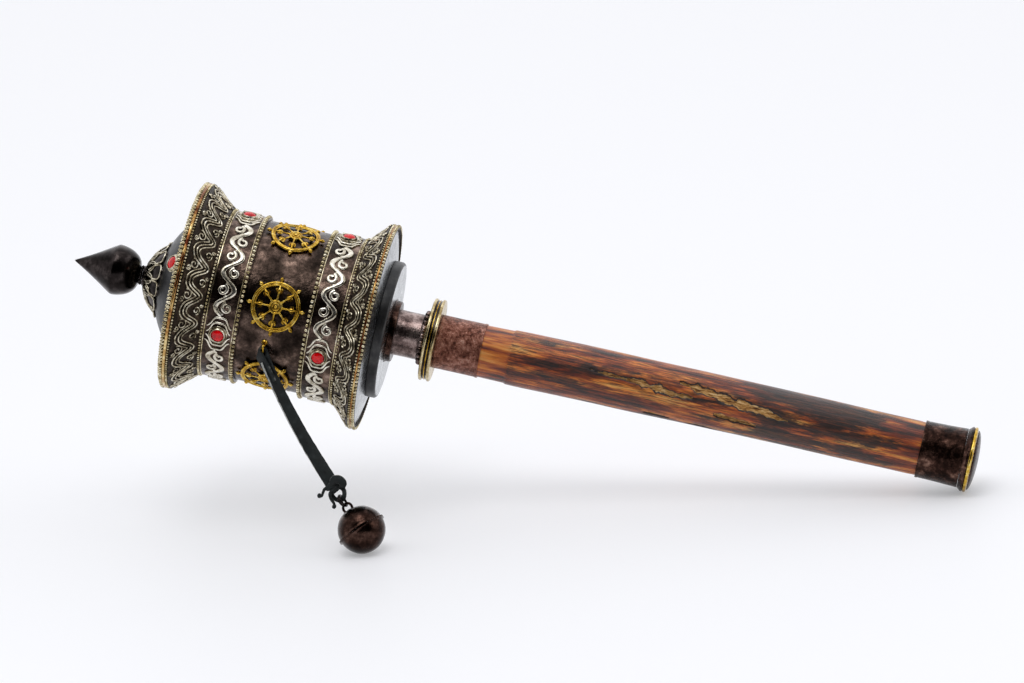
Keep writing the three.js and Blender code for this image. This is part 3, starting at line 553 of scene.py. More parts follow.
def ribbon(bm, raw, line, facings, widths, thickness):
    """A flat strip of hide along a line; its two cut edges are marked as raw."""
    outline = [(-1, -0.8), (-0.94, -1), (0.94, -1), (1, -0.8), (1, 0.8), (0.94, 1), (-0.94, 1), (-1, 0.8)]
    rings = []
    for i, place in enumerate(line):
        ahead = (line[min(i + 1, len(line) - 1)] - line[max(i - 1, 0)]).normalized()
        across = ahead.cross(facings[i]).normalized()
        flat = across.cross(ahead).normalized()
        ring = []
        for wide, thick in outline:
            corner = bm.verts.new(place + across * wide * widths[i] / 2 + flat * thick * thickness / 2)
            corner[raw] = 1.0 if abs(wide) == 1 else 0.0
            ring.append(corner)
        rings.append(ring)
    bridge(bm, rings)


def knotted_end(route):
    """The strap's end: a thong loop for the link, two wraps, a folded lobe and two loose tails."""
    bm = bmesh.new()
    raw = bm.verts.layers.float.new("raw_edge")
    pivot = Vector(JOINTS["link_swing"]["pos_m"])
    side = Vector(JOINTS["link_swing"]["axis"]).normalized()
    front = Vector(JOINTS["ball_swing"]["axis"]).normalized()
    down = side.cross(front)
    if down.dot(route[-1] - route[0]) < 0:
        down = -down
    right = 1 if side.x > 0 else -1
    near = 1 if front.y < 0 else -1
    basis = Matrix((side * right, front * near, down)).transposed().to_4x4()
    basis.translation = pivot - down * 2.4 * MM
    ring = [Vector((2.2 * math.sin(a), 0.3 * math.sin(2 * a), 2.4 * math.cos(a))) * MM
            for a in (TAU * i / 28 for i in range(28))]
    absorb(bm, wires([ring], 0.8 * MM, 4, True))
    wraps = []
    for height, tilt, wide in ((-3.9, -0.5, 2.3), (-2.8, 0.4, 2.15), (-1.7, -0.3, 1.9)):
        wraps.append([Vector((wide * math.cos(a), 1.35 * math.sin(a), height + tilt * math.cos(a))) * MM
                      for a in (TAU * i / 24 for i in range(24))])
    absorb(bm, wires(wraps, 0.68 * MM, 4, True))
    tails = []
    for tail in (
        [(-1.5, 0.9, -3.4), (-2.9, 1.2, -3.6), (-4.0, 1.2, -2.9), (-4.9, 1.1, -2.4), (-5.6, 1.0, -3.0)],
        [(-1.0, 1.2, -1.8), (-2.2, 1.6, -1.0), (-2.6, 1.6, 0.5), (-2.7, 1.5, 2.0), (-3.2, 1.4, 2.9)],
    ):
        line = smooth_route([Vector(p) * MM for p in tail], 4)
        tails.append((line, [1 - 0.3 * i / len(line) for i in range(len(line))]))
    absorb(bm, wires(tails, 0.62 * MM, 4))
    for end in (tails[0][0][-1], tails[1][0][-1]):
        add_ball(bm, end, 0.8 * MM, 2)
    lobe = smooth_route([Vector(p) * MM for p in (
        (0.2, 1.4, -3.0), (1.2, 1.9, -3.9), (2.6, 2.1, -4.1), (3.7, 1.9, -3.1), (3.8, 1.4, -1.7),
        (2.7, 1.0, -0.7))], 4)
    ribbon(bm, raw, lobe, [Vector((0.35, 1, 0.2))] * len(lobe),
           [(2.0 + 0.8 * math.sin(math.pi * i / (len(lobe) - 1))) * MM for i in range(len(lobe))], 1.0 * MM)
    for corner in bm.verts:
        corner.co += 0.25 * MM * noise.noise_vector(corner.co * 420)
    return piece("strap_knot_piece", bm, "strap", "leather", ["strap_knot"], 60, basis)


class PW_OT_strap(bpy.types.Operator):
    """Leather strap that hangs from the lug to its end loop"""

    bl_idname = "prayer_wheel.strap"
    bl_label = "Strap"

    def execute(self, context):
        bar = Vector(JOINTS["strap_swing"]["pos_m"])
        route = smooth_route([bar + Vector(p) * MM for p in STRAP_ROUTE], 5)
        length = sum((b - a).length for a, b in zip(route, route[1:]))
        face = Vector(JOINTS["ball_swing"]["axis"]).normalized()
        bm = bmesh.new()
        raw = bm.verts.layers.float.new("raw_edge")
        facings, widths = [], []
        for i in range(len(route)):
            share = i / (len(route) - 1)
            ahead = (route[min(i + 1, len(route) - 1)] - route[max(i - 1, 0)]).normalized()
            twist = math.radians(-52 + 34 * share)
            facings.append(Matrix.Rotation(twist, 3, ahead) @ face)
            ragged = 1 + 0.06 * noise.noise(Vector((share * 30, 3, 1)))
            widths.append(STRAP_WIDTH * (0.7 + 0.32 * share) * ragged)
        ribbon(bm, raw, route, facings, widths, STRAP_THICKNESS * 1.3)
        strap = piece("leather_strap_piece", bm, "strap", "leather", ["leather_strap"], 50,
            Matrix())
        knot = knotted_end(route)
        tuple(route[0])
        return {"FINISHED"}


def build_halves(basis):
    radius, seam, eye_ring = 8.0 * MM, 0.5 * MM, 1.6 * MM
    eye = eye_ring - 0.65 * MM
    centre_z = eye + 0.6 * MM + radius
    wall = 1.0 * MM
    for sign, name, node_name in ((-1, "ball_upper_piece", "ball_upper_half"),
                                  (1, "ball_lower_piece", "ball_lower_half")):
        lip = 0.42 * MM
        flange = radius + seam
        outer = arc(radius, 0, 0, radius * 0.997, 20)
        inner = arc(radius - wall, 0, 0, (radius - wall) * 0.999, 10)[::-1]
        profile = [*outer, (radius + 0.1 * MM, lip), (flange, lip * 0.9), (flange, 0.06 * MM),
                   (radius - wall, 0.06 * MM), *inner]
        bm = turned([(r, sign * z) for r, z in profile], 72)
        for corner in bm.verts:
            dent = noise.noise(corner.co * 240) * 0.10 * MM
            if corner.co.length > radius * 0.97:
                corner.co += corner.co.normalized() * (dent - 0.05 * MM)
        bmesh.ops.translate(bm, verts=bm.verts, vec=(0, 0, centre_z))
        if sign < 0:
            stand = Matrix.Translation((0, 0, eye)) @ Matrix.Rotation(math.pi / 2, 4, "X")
            add_torus(bm, eye_ring, 0.45 * MM, stand, 32, 10)
        piece(name, bm, "ball", "ball", [node_name], 40, basis)


class PW_OT_ball(bpy.types.Operator):
    """Weight on the strap: two pressed halves with a seam, an eye and the wire link"""

    bl_idname = "prayer_wheel.ball"
    bl_label = "Weight ball"

    def execute(self, context):
        side = Vector(JOINTS["link_swing"]["axis"]).normalized()
        front = Vector(JOINTS["ball_swing"]["axis"]).normalized()
        link_top = Vector(JOINTS["link_swing"]["pos_m"])
        eye_top = Vector(JOINTS["ball_swing"]["pos_m"])
        down = (eye_top - link_top).normalized()
        basis = Matrix((side, front, down)).transposed().to_4x4()
        basis.translation = eye_top
        bm = bmesh.new()
        ring, wire = 2.0 * MM, 0.45 * MM
        upright = Matrix.Rotation(math.pi / 2, 4, "Y")
        add_torus(bm, ring, wire, Matrix.Translation((0, 0, -ring)) @ upright, 40, 10)
        add_torus(bm, ring * 0.96, wire * 0.7,
                  Matrix.Translation((0.35 * MM, 0, -ring)) @ Matrix.Rotation(0.18, 4, "Z") @ upright, 40,
                  8)
        piece("wire_link_piece", bm, "link", "blackened", ["wire_link"], 60, basis)
        build_halves(basis)
        return {"FINISHED"}


def build_fold(bar, across):
    """The strap's top end, folded round the bar and back on itself."""
    start = LEVEL @ (Vector(JOINTS["strap_swing"]["pos_m"]) + Vector(STRAP_ROUTE[2]) * MM)
    away = (start - bar).normalized()
    lift = away.cross(across).normalized()
    bm = bmesh.new()
    raw = bm.verts.layers.float.new("raw_edge")
    reach = (start - bar).length
    inner = 0.62 * MM
    line = [bar + away * reach - lift * 0.75 * MM, bar + away * reach * 0.55 - lift * 0.85 * MM]
    line += [bar + (away * math.cos(a) + lift * math.sin(a)) * (inner + 0.5 * MM)
             for a in (-math.pi / 2 - math.pi * i / 8 for i in range(9))]
    line += [bar + away * reach * 0.55 + lift * 0.85 * MM, bar + away * reach + lift * 0.75 * MM,
             bar + away * reach * 1.35 + lift * 0.7 * MM]
    facings = []
    for i in range(len(line)):
        ahead = (line[min(i + 1, len(line) - 1)] - line[max(i - 1, 0)]).normalized()
        facings.append(across.cross(ahead))
    ribbon(bm, raw, line, facings, [3.7 * MM] * len(line), 0.8 * MM)
    for corner in bm.verts:
        corner[raw] *= 0.5
    butt_way = Vector((0, 0, -1))
    flat = away.cross(across).normalized()
    middle = bar + (away * 2.4 + butt_way * 1.1) * MM
    turn = Matrix((across, away, flat)).transposed().to_4x4()
    lobe = bmesh.ops.create_icosphere(bm, subdivisions=4, radius=1.0, matrix=Matrix.Translation(middle)
                                      @ turn @ Matrix.Diagonal((2.1 * MM, 2.5 * MM, 0.95 * MM, 1)))["verts"]
    for corner in lobe:
        corner.co += 0.3 * MM * noise.noise_vector(corner.co * 330)
    piece("strap_fold", bm, "strap", "leather", (), 50)


class PW_OT_lug(bpy.types.Operator):
    """Bent brass staple that the strap hangs from, with the strap's fold over its bar"""

    bl_idname = "prayer_wheel.lug"
    bl_label = "Strap lug"

    def execute(self, context):
        _, angle, z = centre("strap_lug")
        wall = Span("drum_wall").outer
        bar = LEVEL @ Vector(JOINTS["strap_swing"]["pos_m"])
        height = math.hypot(bar.x, bar.y)
        out = on_wall(1, angle, 0)
        across = Vector((math.cos(angle), math.sin(angle), 0))
        axle = Vector((0, 0, z))

        def spot(wide, reach):
            return axle + out * reach + across * wide

        half = 3.1 * MM
        corner = 1.0 * MM
        bend = [0, 0.3, 0.7, 1]
        left = [spot(-half + corner * (1 - math.cos(t * math.pi / 2)),
            height - corner + corner * math.sin(t * math.pi / 2))
                for t in bend]
        right = [spot(half - corner * (1 - math.cos(t * math.pi / 2)),
            height - corner + corner * math.sin(t * math.pi / 2))
                 for t in reversed(bend)]
        staple = [spot(-half, wall + 0.05 * MM), *left, *right, spot(half, wall + 0.05 * MM)]
        bm = bmesh.new()
        absorb(bm, wires([staple], 0.5 * MM, 4))
        for side in (-half, half):
            bmesh.ops.create_cone(bm, cap_ends=True, segments=16, radius1=1.15 * MM, radius2=0.9 * MM,
                depth=0.4 * MM,
                                  matrix=Matrix.Translation(spot(side, wall + 0.22 * MM))
                                  @ out.to_track_quat("Z", "Y").to_matrix().to_4x4())
        piece("strap_lug_piece", bm, "drum", "brass", ["strap_lug"], 40)
        build_fold(bar, across)
        return {"FINISHED"}


# ---- handle -------------------------------------------------------------------
# Natural hollows in the wood: height on the grip, angle, half length and half width, in millimetres and
# degrees, and how far the angle drifts from one end to the other.
HOLLOWS = [
    (14, 20, 11.6, 1.5, 6), (-11.2, 28, 19, 1.9, 14), (-12.6, -12, 7.4, 1.3, 4), (29, 26, 9, 0.7, 3),
    (13.5, -47, 4.5, 0.8, 0), (-2, -60, 6, 0.6, 2), (-34, 150, 15, 1.7, -9), (22, 205, 12, 1.4, 8),
    (40, 120, 8, 1.0, 4),
]


def hollow_depth(angle, height):
    """How far inside a hollow a point is, 0 outside and 1 well within."""
    deepest = 0.0
    for k, (middle, degrees, half_long, half_wide, drift) in enumerate(HOLLOWS):
        along = (height - middle) / half_long
        if abs(along) >= 1:
            continue
        line = math.radians(degrees + drift * along) + 0.07 * noise.noise(Vector((height * 0.16, k * 7.3,
            0)))
        apart = (angle - line + math.pi) % TAU - math.pi
        wide = half_wide * math.sqrt(1 - along ** 2) * (0.85 + 0.9 * noise.noise(Vector((height * 0.32,
            k * 3.1, 5))))
        if wide > 0.05:
            rag = 0.35 * noise.noise(Vector((angle * 9, height * 0.9, k)))
            inside = 1 + rag - abs(apart) * 9.1 / wide
            deepest = max(deepest, min(1.0, inside * 2.2))
    return max(0.0, deepest)


def weather_grip(corner, layers, low, length):
    """Presses the hollows in, ripples the grain, and marks where the wood is burnt or bare."""
    hollow, scorch, plain = layers
    x, y, z = corner.co
    radius = math.hypot(x, y)
    share = (z - low) / length
    angle = math.atan2(x, -y)
    depth = hollow_depth(angle, (z - low - length / 2) / MM)
    bare = max(0.0, min(1.0, (share - 0.934) / 0.006))
    butt = math.exp(-(share / 0.07) ** 2)
    ends = min(1, share * 14) * min(1, (1 - share) * 14)
    corner[hollow] = depth
    corner[plain] = max(bare, butt * 0.6)
    lower_half = max(0.0, min(1.0, (0.46 - share) * 9))
    burn = math.exp(-((share - 0.76) / 0.03) ** 2 - ((angle - 0.6) / 0.35) ** 2)
    corner[scorch] = (0.085 * lower_half + 0.18 * burn - 0.004 - 0.3 * bare - 0.16 * butt
                      - 0.03 * math.exp(-((share - 0.6) / 0.09) ** 2))
    grain = noise.noise(Vector((x * 900, y * 900, z * 70)))
    lump = noise.noise(Vector((x * 110, y * 110, z * 40)))
    shrink = (0.85 * depth - 0.07 * grain - 0.1 * lump * ends) * MM
    corner.co.x -= x / radius * shrink
    corner.co.y -= y / radius * shrink
    corner.co.x += 0.35 * MM * math.sin(math.pi * share)


class PW_OT_grip(bpy.types.Operator):
    """Wooden grip, slightly bowed, with natural hollows worn into it"""

    bl_idname = "prayer_wheel.grip"
    bl_label = "Wooden grip"

    def execute(self, context):
        wood = Span("wood_grip")
        low, high = Span("lower_ferrule").high, Span("upper_ferrule").low
        length = high - low
        shape = [(0.0, wood.outer - 0.4 * MM), (0.02, wood.outer - 0.3 * MM), (0.3, wood.outer - 0.25 * MM),
                 (0.5, wood.outer - 0.12 * MM), (0.72, wood.outer - 0.05 * MM),
                 (0.9, wood.outer - 0.1 * MM),
                 (0.934, wood.outer - 0.15 * MM), (0.94, wood.outer - 0.5 * MM),
                 (1.0, wood.outer - 0.6 * MM)]
        rows = 340

        def radius_at(share):
            for (s0, r0), (s1, r1) in zip(shape, shape[1:]):
                if share <= s1:
                    t = (share - s0) / (s1 - s0)
                    return r0 + (r1 - r0) * t * t * (3 - 2 * t)
            return shape[-1][1]

        profile = [(0, low)] + [(radius_at(i / rows),
            low + length * i / rows) for i in range(rows + 1)] + [(0, high)]
        bm = turned(profile, 144)
        layers = [bm.verts.layers.float.new(name) for name in ("hollow", "scorch", "plain")]
        for corner in bm.verts:
            if math.hypot(corner.co.x, corner.co.y) > 4 * MM:
                weather_grip(corner, layers, low, length)
        piece("wood_grip_piece", bm, "handle", "wood", ["wood_grip"], 60)
        return {"FINISHED"}


def build_ferrules():
    upper = Span("upper_ferrule")
    r, wall = upper.outer, 0.7 * MM
    edge = 1.1 * MM
    outline = [(r - wall, upper.low), (r + 0.12 * MM, upper.low), (r + 0.16 * MM, upper.low + edge * 0.5),
               (r, upper.low + edge), (r - 0.05 * MM, upper.middle), (r, upper.high - edge),
               (r, upper.high), (upper.inner, upper.high), (upper.inner, upper.high - wall),
               (r - wall, upper.high - wall)]
    piece("upper_ferrule_piece", turned(outline, 128, 0.08 * MM), "handle", "ferrule_copper",
          ["upper_ferrule"])
    lower = Span("lower_ferrule")
    top = lower.reach(lower.high)
    outline = [(top - wall, lower.low), (lower.outer, lower.low), (lower.outer, lower.low + 0.8 * MM),
               (top + 0.12 * MM, lower.middle), (top, lower.high - edge),
               (top + 0.14 * MM, lower.high - edge * 0.5),
               (top + 0.08 * MM, lower.high), (top - wall, lower.high)]
    piece("lower_ferrule_piece", turned(outline, 128, 0.08 * MM), "handle", "dark_ferrule",
          ["lower_ferrule"])


def build_butt():
    """A dark flange behind a thin brass bead, and a shallow domed cap."""
    ring = Span("end_ring")
    thick = 1.5 * MM
    outline = [(ring.inner, ring.low + thick * 0.8), (ring.outer - 0.25 * MM, ring.low + thick * 0.8),
               (ring.outer - 0.05 * MM, ring.low + thick), (ring.outer - 0.15 * MM, ring.low + thick * 1.3),
               (ring.outer - 0.9 * MM, ring.high - 0.35 * MM), (ring.outer - 1.1 * MM, ring.high),
               (ring.inner, ring.high)]
    piece("end_flange", turned(outline, 144, 0.06 * MM), "handle", "dark_ferrule", (), 30)
    half = thick * 0.4
    face = [(ring.outer - half * 1.2 + half * 1.2 * math.cos(a), ring.low + half + half * math.sin(a))
            for a in (math.radians(d) for d in range(-90, 91, 15))]
    step = Span("end_cap").outer + 0.1 * MM
    outline = [(step - 1.5 * MM, ring.low + 0.3 * MM), (step, ring.low + 0.1 * MM), *face,
               (step - 1.5 * MM, ring.low + 2 * half)]
    piece("end_ring_piece", turned(outline, 144), "handle", "brass", ["end_ring"], 40)
    cap = Span("end_cap")
    dome = [(cap.outer * math.sin(a), cap.high - (cap.high - cap.low) * math.cos(a))
            for a in (math.radians(d) for d in range(0, 91, 6))]
    dome[0] = (0, cap.low)
    piece("end_cap_piece", turned([*dome, (0, cap.high)], 96), "handle", "dark_ferrule",
          ["end_cap"])


def build_guard():
    for node_name, share in (("guard_lower_ring", 1.0), ("guard_upper_ring", 0.9)):
        ring = Span(node_name)
        half = (ring.high - ring.low) / 2 * share
        face = [(ring.outer - half * 0.8 + half * 0.8 * math.cos(a), ring.middle + half * math.sin(a))
                for a in (math.radians(d) for d in range(-90, 91, 15))]
        outline = [(ring.inner, ring.low), (ring.outer - 1.3 * MM, ring.low), *face,
                   (ring.outer - 1.3 * MM, ring.high), (ring.inner, ring.high)]
        piece(f"{node_name}_piece", turned(outline, 144), "handle", "pale_brass", [node_name], 40)
    core, ring = Span("guard_core"), Span("guard_upper_ring")
    rim = ring.outer - 0.55 * MM
    outline = [(core.inner, core.low), (rim, core.low), (rim - 0.1 * MM, core.middle), (rim, core.high),
               (core.inner, core.high)]
    bm = turned(outline, 144)
    piece("guard_core_piece", bm, "handle", "blackened", ["guard_core"])
    bm = bmesh.new()
    add_torus(bm, rim - 0.05 * MM, 0.2 * MM, Matrix.Translation((0, 0, core.middle)), 144, 8)
    piece("guard_groove_wire", bm, "handle", "brass", (), 60)


def build_neck(count):
    collar = Span("bead_collar")
    bead = 0.9 * MM
    seat = collar.outer - bead
    bm = turned([(collar.inner, collar.low), (seat - 0.2 * MM, collar.low + 0.3 * MM),
                 (seat - 0.2 * MM, collar.high - 0.3 * MM), (collar.inner, collar.high)], 96)
    first = bmesh.ops.create_icosphere(bm, subdivisions=3, radius=bead,
                                       matrix=Matrix.Translation(on_wall(seat, 0.1,
                                           collar.middle)))["verts"]
    around(bm, first, count)
    piece("bead_collar_piece", bm, "handle", "neck", ["bead_collar"], 50)
    tube = Span("neck_tube")
    outline = [(tube.inner, tube.low),
        *swell((tube.outer, tube.low), (tube.outer, tube.high), -0.1 * MM, 6),
               (tube.inner, tube.high)]
    piece("neck_tube_piece", turned(outline, 128), "handle", "neck", ["neck_tube"])


class PW_OT_handle_metal(bpy.types.Operator):
    """Ferrules, end ring, butt cap, guard, bead collar and neck"""

    bl_idname = "prayer_wheel.handle_metal"
    bl_label = "Handle metal"

    def execute(self, context):
        build_ferrules()
        build_butt()
        build_guard()
        build_neck(sizes().collar_beads)
        return {"FINISHED"}


# ---- drum ---------------------------------------------------------------------
def base_and_floor():
    plate = Span("base_plate")
    boss = 10.3 * MM
    low = plate.high - 3.2 * MM
    bevel = 0.9 * MM
    face = plate.outer - bevel
    outline = [(plate.inner, low + 0.3 * MM), (face, low + 0.3 * MM), (face, low),
               (plate.outer - 0.55 * bevel, low + 0.12 * bevel),
               (plate.outer - 0.2 * bevel, low + 0.45 * bevel),
               (plate.outer, low + bevel), (plate.outer, plate.high), (plate.inner, plate.high)]
    piece("base_plate_piece", turned(outline, 160), "drum", "charcoal", ["base_plate"])
    outline = [(plate.inner, low), (boss, low + 0.05 * MM), ((boss + face) / 2, low + 0.1 * MM),
               (face - 0.05 * MM, low), (face - 0.05 * MM, low + 0.28 * MM), (plate.inner, low + 0.28 * MM)]
    piece("base_plate_face", turned(outline, 160), "drum", "bright")
    outline = [(plate.inner, low), (plate.inner, plate.low + 0.1 * MM), (plate.inner + 0.2 * MM, plate.low),
               (boss - 0.3 * MM, plate.low), (boss - 0.05 * MM, plate.low + 0.3 * MM),
               (boss, low - 0.3 * MM),
               (boss + 0.5 * MM, low - 0.05 * MM), (boss + 0.5 * MM, low)]
    piece("base_boss", turned(outline, 96), "drum", "dark_ferrule")
    cone = Span("floor_cone")
    outer, inner = cone.outer, cone.inner
    seat = plate.outer + 0.12 * MM
    wall = 0.6 * MM
    drop = cone.high - wall - cone.low
    slope = [(seat + (outer - seat) * t, cone.low + drop * t ** 1.15) for t in (i / 12 for i in range(13))]
    outline = [(inner, cone.low), *slope, (outer, cone.high), (seat, cone.low + wall),
        (inner, cone.low + wall)]
    bm = turned(outline, 160)
    for corner in bm.verts:
        corner.co.z += 0.05 * MM * noise.noise(corner.co * 260)
    piece("floor_cone_piece", bm, "drum", "bright", ["floor_cone"])


class PW_OT_drum_shell(bpy.types.Operator):
    """Plain wall, base plate and the bright floor cone"""

    bl_idname = "prayer_wheel.drum_shell"
    bl_label = "Drum shell"

    def execute(self, context):
        wall = Span("drum_wall")
        r = wall.outer
        lower, upper = Span("lower_band"), Span("upper_band")
        skin = swell((r, lower.high), (r, upper.low), 0.06 * MM, 10)
        outline = [(wall.inner, wall.low), (r, wall.low), *skin, (r, wall.high), (wall.inner, wall.high)]
        bm = turned(outline, 192)
        for corner in bm.verts:
            x, y, z = corner.co
            reach = math.hypot(x, y)
            if reach > r - 0.02 * MM:
                dent = 0.05 * MM * noise.noise(Vector((x, y, z)) * 150)
                corner.co.x += x / reach * dent
                corner.co.y += y / reach * dent
        piece("drum_wall_piece", bm, "drum", "antiqued_copper", ["drum_wall"])
        base_and_floor()
        return {"FINISHED"}


def build_sleeve(side, band, bead):
    """The dark sheet, larger beads along the wall's side and smaller ones along the flare's."""
    edge = 1.25 * MM
    sheet = band.inner + 0.7 * MM
    outline = [(band.inner, band.low), (sheet + 0.1 * MM, band.low),
        (sheet + 0.1 * MM, band.low + edge * 0.2),
               (sheet, band.low + edge * 0.3), (sheet, band.high - edge * 0.3),
               (sheet + 0.1 * MM, band.high - edge * 0.2), (sheet + 0.1 * MM, band.high),
               (band.inner, band.high)]
    piece(f"{side}_band_piece", turned(outline, 192), "drum", "antiqued_copper",
        [f"{side}_band"])
    wall_z, flare_z, inward = (band.low, band.high, 1) if side == "upper" else (band.high, band.low, -1)
    bm = bmesh.new()
    add_beads(bm, sheet + 0.2 * MM, wall_z + inward * edge * 0.55, bead * 1.26, bead * 3.26)
    add_beads(bm, sheet + 0.15 * MM, flare_z - inward * edge * 0.45, bead * 0.92, bead * 2.4)
    add_torus(bm, sheet, 0.17 * MM, Matrix.Translation((0, 0, wall_z + inward * edge * 1.25)), 160, 6)
    add_torus(bm, sheet, 0.2 * MM, Matrix.Translation((0, 0, flare_z - inward * edge * 1.1)), 160, 6)
    piece(f"{side}_band_beads", bm, "drum", "beads", (), 60)


def build_relief(side, band, wire):
    """A vine that waves from edge to edge between two stones, with a tendril in each hollow."""
    sheet = band.inner + 0.75 * MM
    stones = sorted(centre(f"stone_{side}_{i}")[1] for i in range(1, 5))
    margin = 6.6 * MM / sheet
    stems, leaves = [], []
    for here, after in zip(stones, stones[1:] + [stones[0] + TAU]):
        start, end = here + margin, after - margin
        waves = max(2, round((end - start) * sheet / (6.2 * MM)))
        step = (end - start) / waves
        tall = 2.55 * MM

        def spot(u, y):
            return on_wall(sheet + 0.12 * MM, start + u * step, band.middle + y)

        count = waves * 10
        line = [(i / 10, tall * math.sin(math.pi * i / 10) * (1 if i else 0)) for i in range(count + 1)]
        stems.append(([spot(u, y) for u, y in line],
                      [0.85 + 0.45 * abs(math.sin(math.pi * u)) for u, _ in line]))
        for k in range(waves):
            sign = -1 if k % 2 else 1
            coil, thick = [], []
            for j in range(22):
                t = j / 21
                turn = math.pi * (0.1 + 2.15 * t)
                reach = 1.75 * (1 - 0.62 * t)
                coil.append(spot(k + 0.5 + 0.175 * reach * math.cos(turn),
                                 sign * (-1.35 * MM + reach * MM * math.sin(turn))))
                thick.append(1.0 - 0.25 * t + (0.55 if j > 18 else 0))
            leaves.append((coil, thick))
            for way in (-1, 1):
                tip = [spot(k + 0.5 + way * x, sign * y * MM)
                       for x, y in ((0.3, 0.95), (0.38, 0.2), (0.4, -0.5))]
                leaves.append((tip, [0.35, 0.8, 0.3]))
    bm = bmesh.new()
    absorb(bm, wires(stems, wire * 1.05, 4))
    absorb(bm, wires(leaves, wire * 0.85, 4))
    for corner in bm.verts:
        reach = math.hypot(corner.co.x, corner.co.y)
        press = min(reach, sheet + 0.12 * MM + wire * 0.55) / reach
        corner.co.x *= press
        corner.co.y *= press
    piece(f"{side}_band_relief", bm, "drum", "relief", (), 60)


class PW_OT_bands(bpy.types.Operator):
    """Relief bands with beaded edges and a running scroll between the stones"""

    bl_idname = "prayer_wheel.bands"
    bl_label = "Relief bands"

    def execute(self, context):
        bead = sizes().small_bead
        for side in ("lower", "upper"):
            band = Span(f"{side}_band")
            build_sleeve(side, band, bead)
            build_relief(side, band, sizes().relief_wire)
        return {"FINISHED"}


def build_cone(side, narrow, wide, narrow_z, wide_z):
    wall = 0.9 * MM
    outline = [(narrow - wall, narrow_z), *swell((narrow, narrow_z), (wide, wide_z), -0.35 * MM, 8),
               (wide - wall, wide_z)]
    piece(f"{side}_flare_piece", turned(outline, 192), "drum", "ground", [f"{side}_flare"])


def build_filigree(side, narrow, wide, narrow_z, wide_z):
    """Triple waves with scrolls in their hollows, laid on the cone."""
    slant = math.hypot(wide - narrow, wide_z - narrow_z)
    out = Vector((wide_z - narrow_z, -(wide - narrow)))
    out = out.normalized() * (1 if out.x > 0 else -1)
    repeats = sizes().flare_repeats
    wire = sizes().filigree_wire
    mean = (narrow + wide) / 2
    pitch = TAU * mean / repeats

    def spot(along, up_slant, lift=0.0):
        share = up_slant / slant
        bow = -0.35 * MM * math.sin(math.pi * share)
        radius = narrow + (wide - narrow) * share + bow + out.x * (wire * 0.7 + lift)
        z = narrow_z + (wide_z - narrow_z) * share + out.y * (wire * 0.7 + lift)
        return on_wall(radius, along / mean, z)

    paths, thin = [], []
    for k in (-1, 0, 1):
        wave = []
        for i in range(repeats * 32):
            phase = TAU * i / 32
            along = pitch * i / 32
            swing = phase + 0.35 * math.cos(phase)
            height = slant * (0.5 + 0.25 * math.sin(swing))
            slope = slant * 0.25 * TAU / pitch * math.cos(swing)
            gap = k * 0.72 * MM / math.hypot(1, slope)
            wave.append(spot(along - gap * slope, height + gap + 0.55 * MM * k, 0.12 * MM * (k == 0)))
        paths.append(wave)
    for i in range(repeats):
        thin += filigree_scrolls(spot, pitch * i, slant, pitch)
    bm = bmesh.new()
    absorb(bm, wires(paths, wire, 4, True))
    absorb(bm, wires(thin, wire, 3))
    piece(f"{side}_flare_filigree", bm, "drum", "wire", (), 60)


def filigree_scrolls(spot, base, slant, pitch):
    """Scrolls in the hollows of one wave: a double scroll under the rim, a small one by the band."""
    found = []
    seeds = [(0.77, 0.72, 1.85, -1, 0.4), (0.62, 0.88, 0.9, 1, 2.0),
             (0.24, 0.25, 1.6, 1, math.pi), (0.42, 0.1, 0.75, -1, 5.4)]
    for across, height, size, turn, start in seeds:
        coil = []
        for j in range(24):
            t = j / 23
            angle = start + turn * t * TAU * 1.35
            reach = size * MM * (1 - 0.8 * t)
            up = min(slant * 0.975, max(slant * 0.03, slant * height + reach * math.sin(angle)))
            coil.append(spot(base + pitch * across + reach * math.cos(angle), up))
        found.append(coil)
    return found


def build_rim(side, rim, up):
    """Dark edge with beads, a half-round gilt wire, and larger beads toward the outside."""
    small, large = sizes().small_bead, sizes().large_bead
    inner_z, outer_z = (rim.low, rim.high) if up > 0 else (rim.high, rim.low)
    seat = rim.outer - 0.55 * MM
    bm = bmesh.new()
    if up > 0:
        outline = [(rim.inner, rim.low), (seat, rim.low), (seat, rim.high - 0.5 * MM),
            (seat - 0.5 * MM, rim.high),
                   (rim.inner, rim.high)]
        add_beads(bm, seat + 0.15 * MM, inner_z + 0.45 * MM, small * 0.85, small * 2.25)
        add_beads(bm, seat + 0.05 * MM, outer_z - 0.7 * MM, large * 0.88, large * 1.95)
        add_beads(bm, seat - 1.0 * MM, outer_z + 0.05 * MM, small * 0.95, small * 2.4, 0.5)
        strip = [(inner_z + 1.5 * MM, 0.6 * MM)]
    else:
        outline = [(rim.inner, rim.high), (seat, rim.high), (seat, rim.high - 1.6 * MM),
                   (rim.inner + 0.05 * MM, rim.low + 0.35 * MM), (rim.inner, rim.low + 0.35 * MM)]
        add_beads(bm, seat + 0.1 * MM, inner_z - 0.35 * MM, small * 0.85, small * 2.25)
        add_beads(bm, seat + 0.05 * MM, inner_z - 1.72 * MM, large * 0.72, large * 1.9)
        strip = [(inner_z - 1.02 * MM, 0.4 * MM)]
    piece(f"{side}_rim_piece", turned(outline, 192), "drum", "ground", [f"{side}_rim"])
    piece(f"{side}_rim_beads", bm, "drum", "beads", (), 60)
    bm = bmesh.new()
    for z, wire in strip:
        add_torus(bm, seat, wire, Matrix.Translation((0, 0, z)), 200, 12)
    piece(f"{side}_rim_strip", bm, "drum", "rim", (), 60)


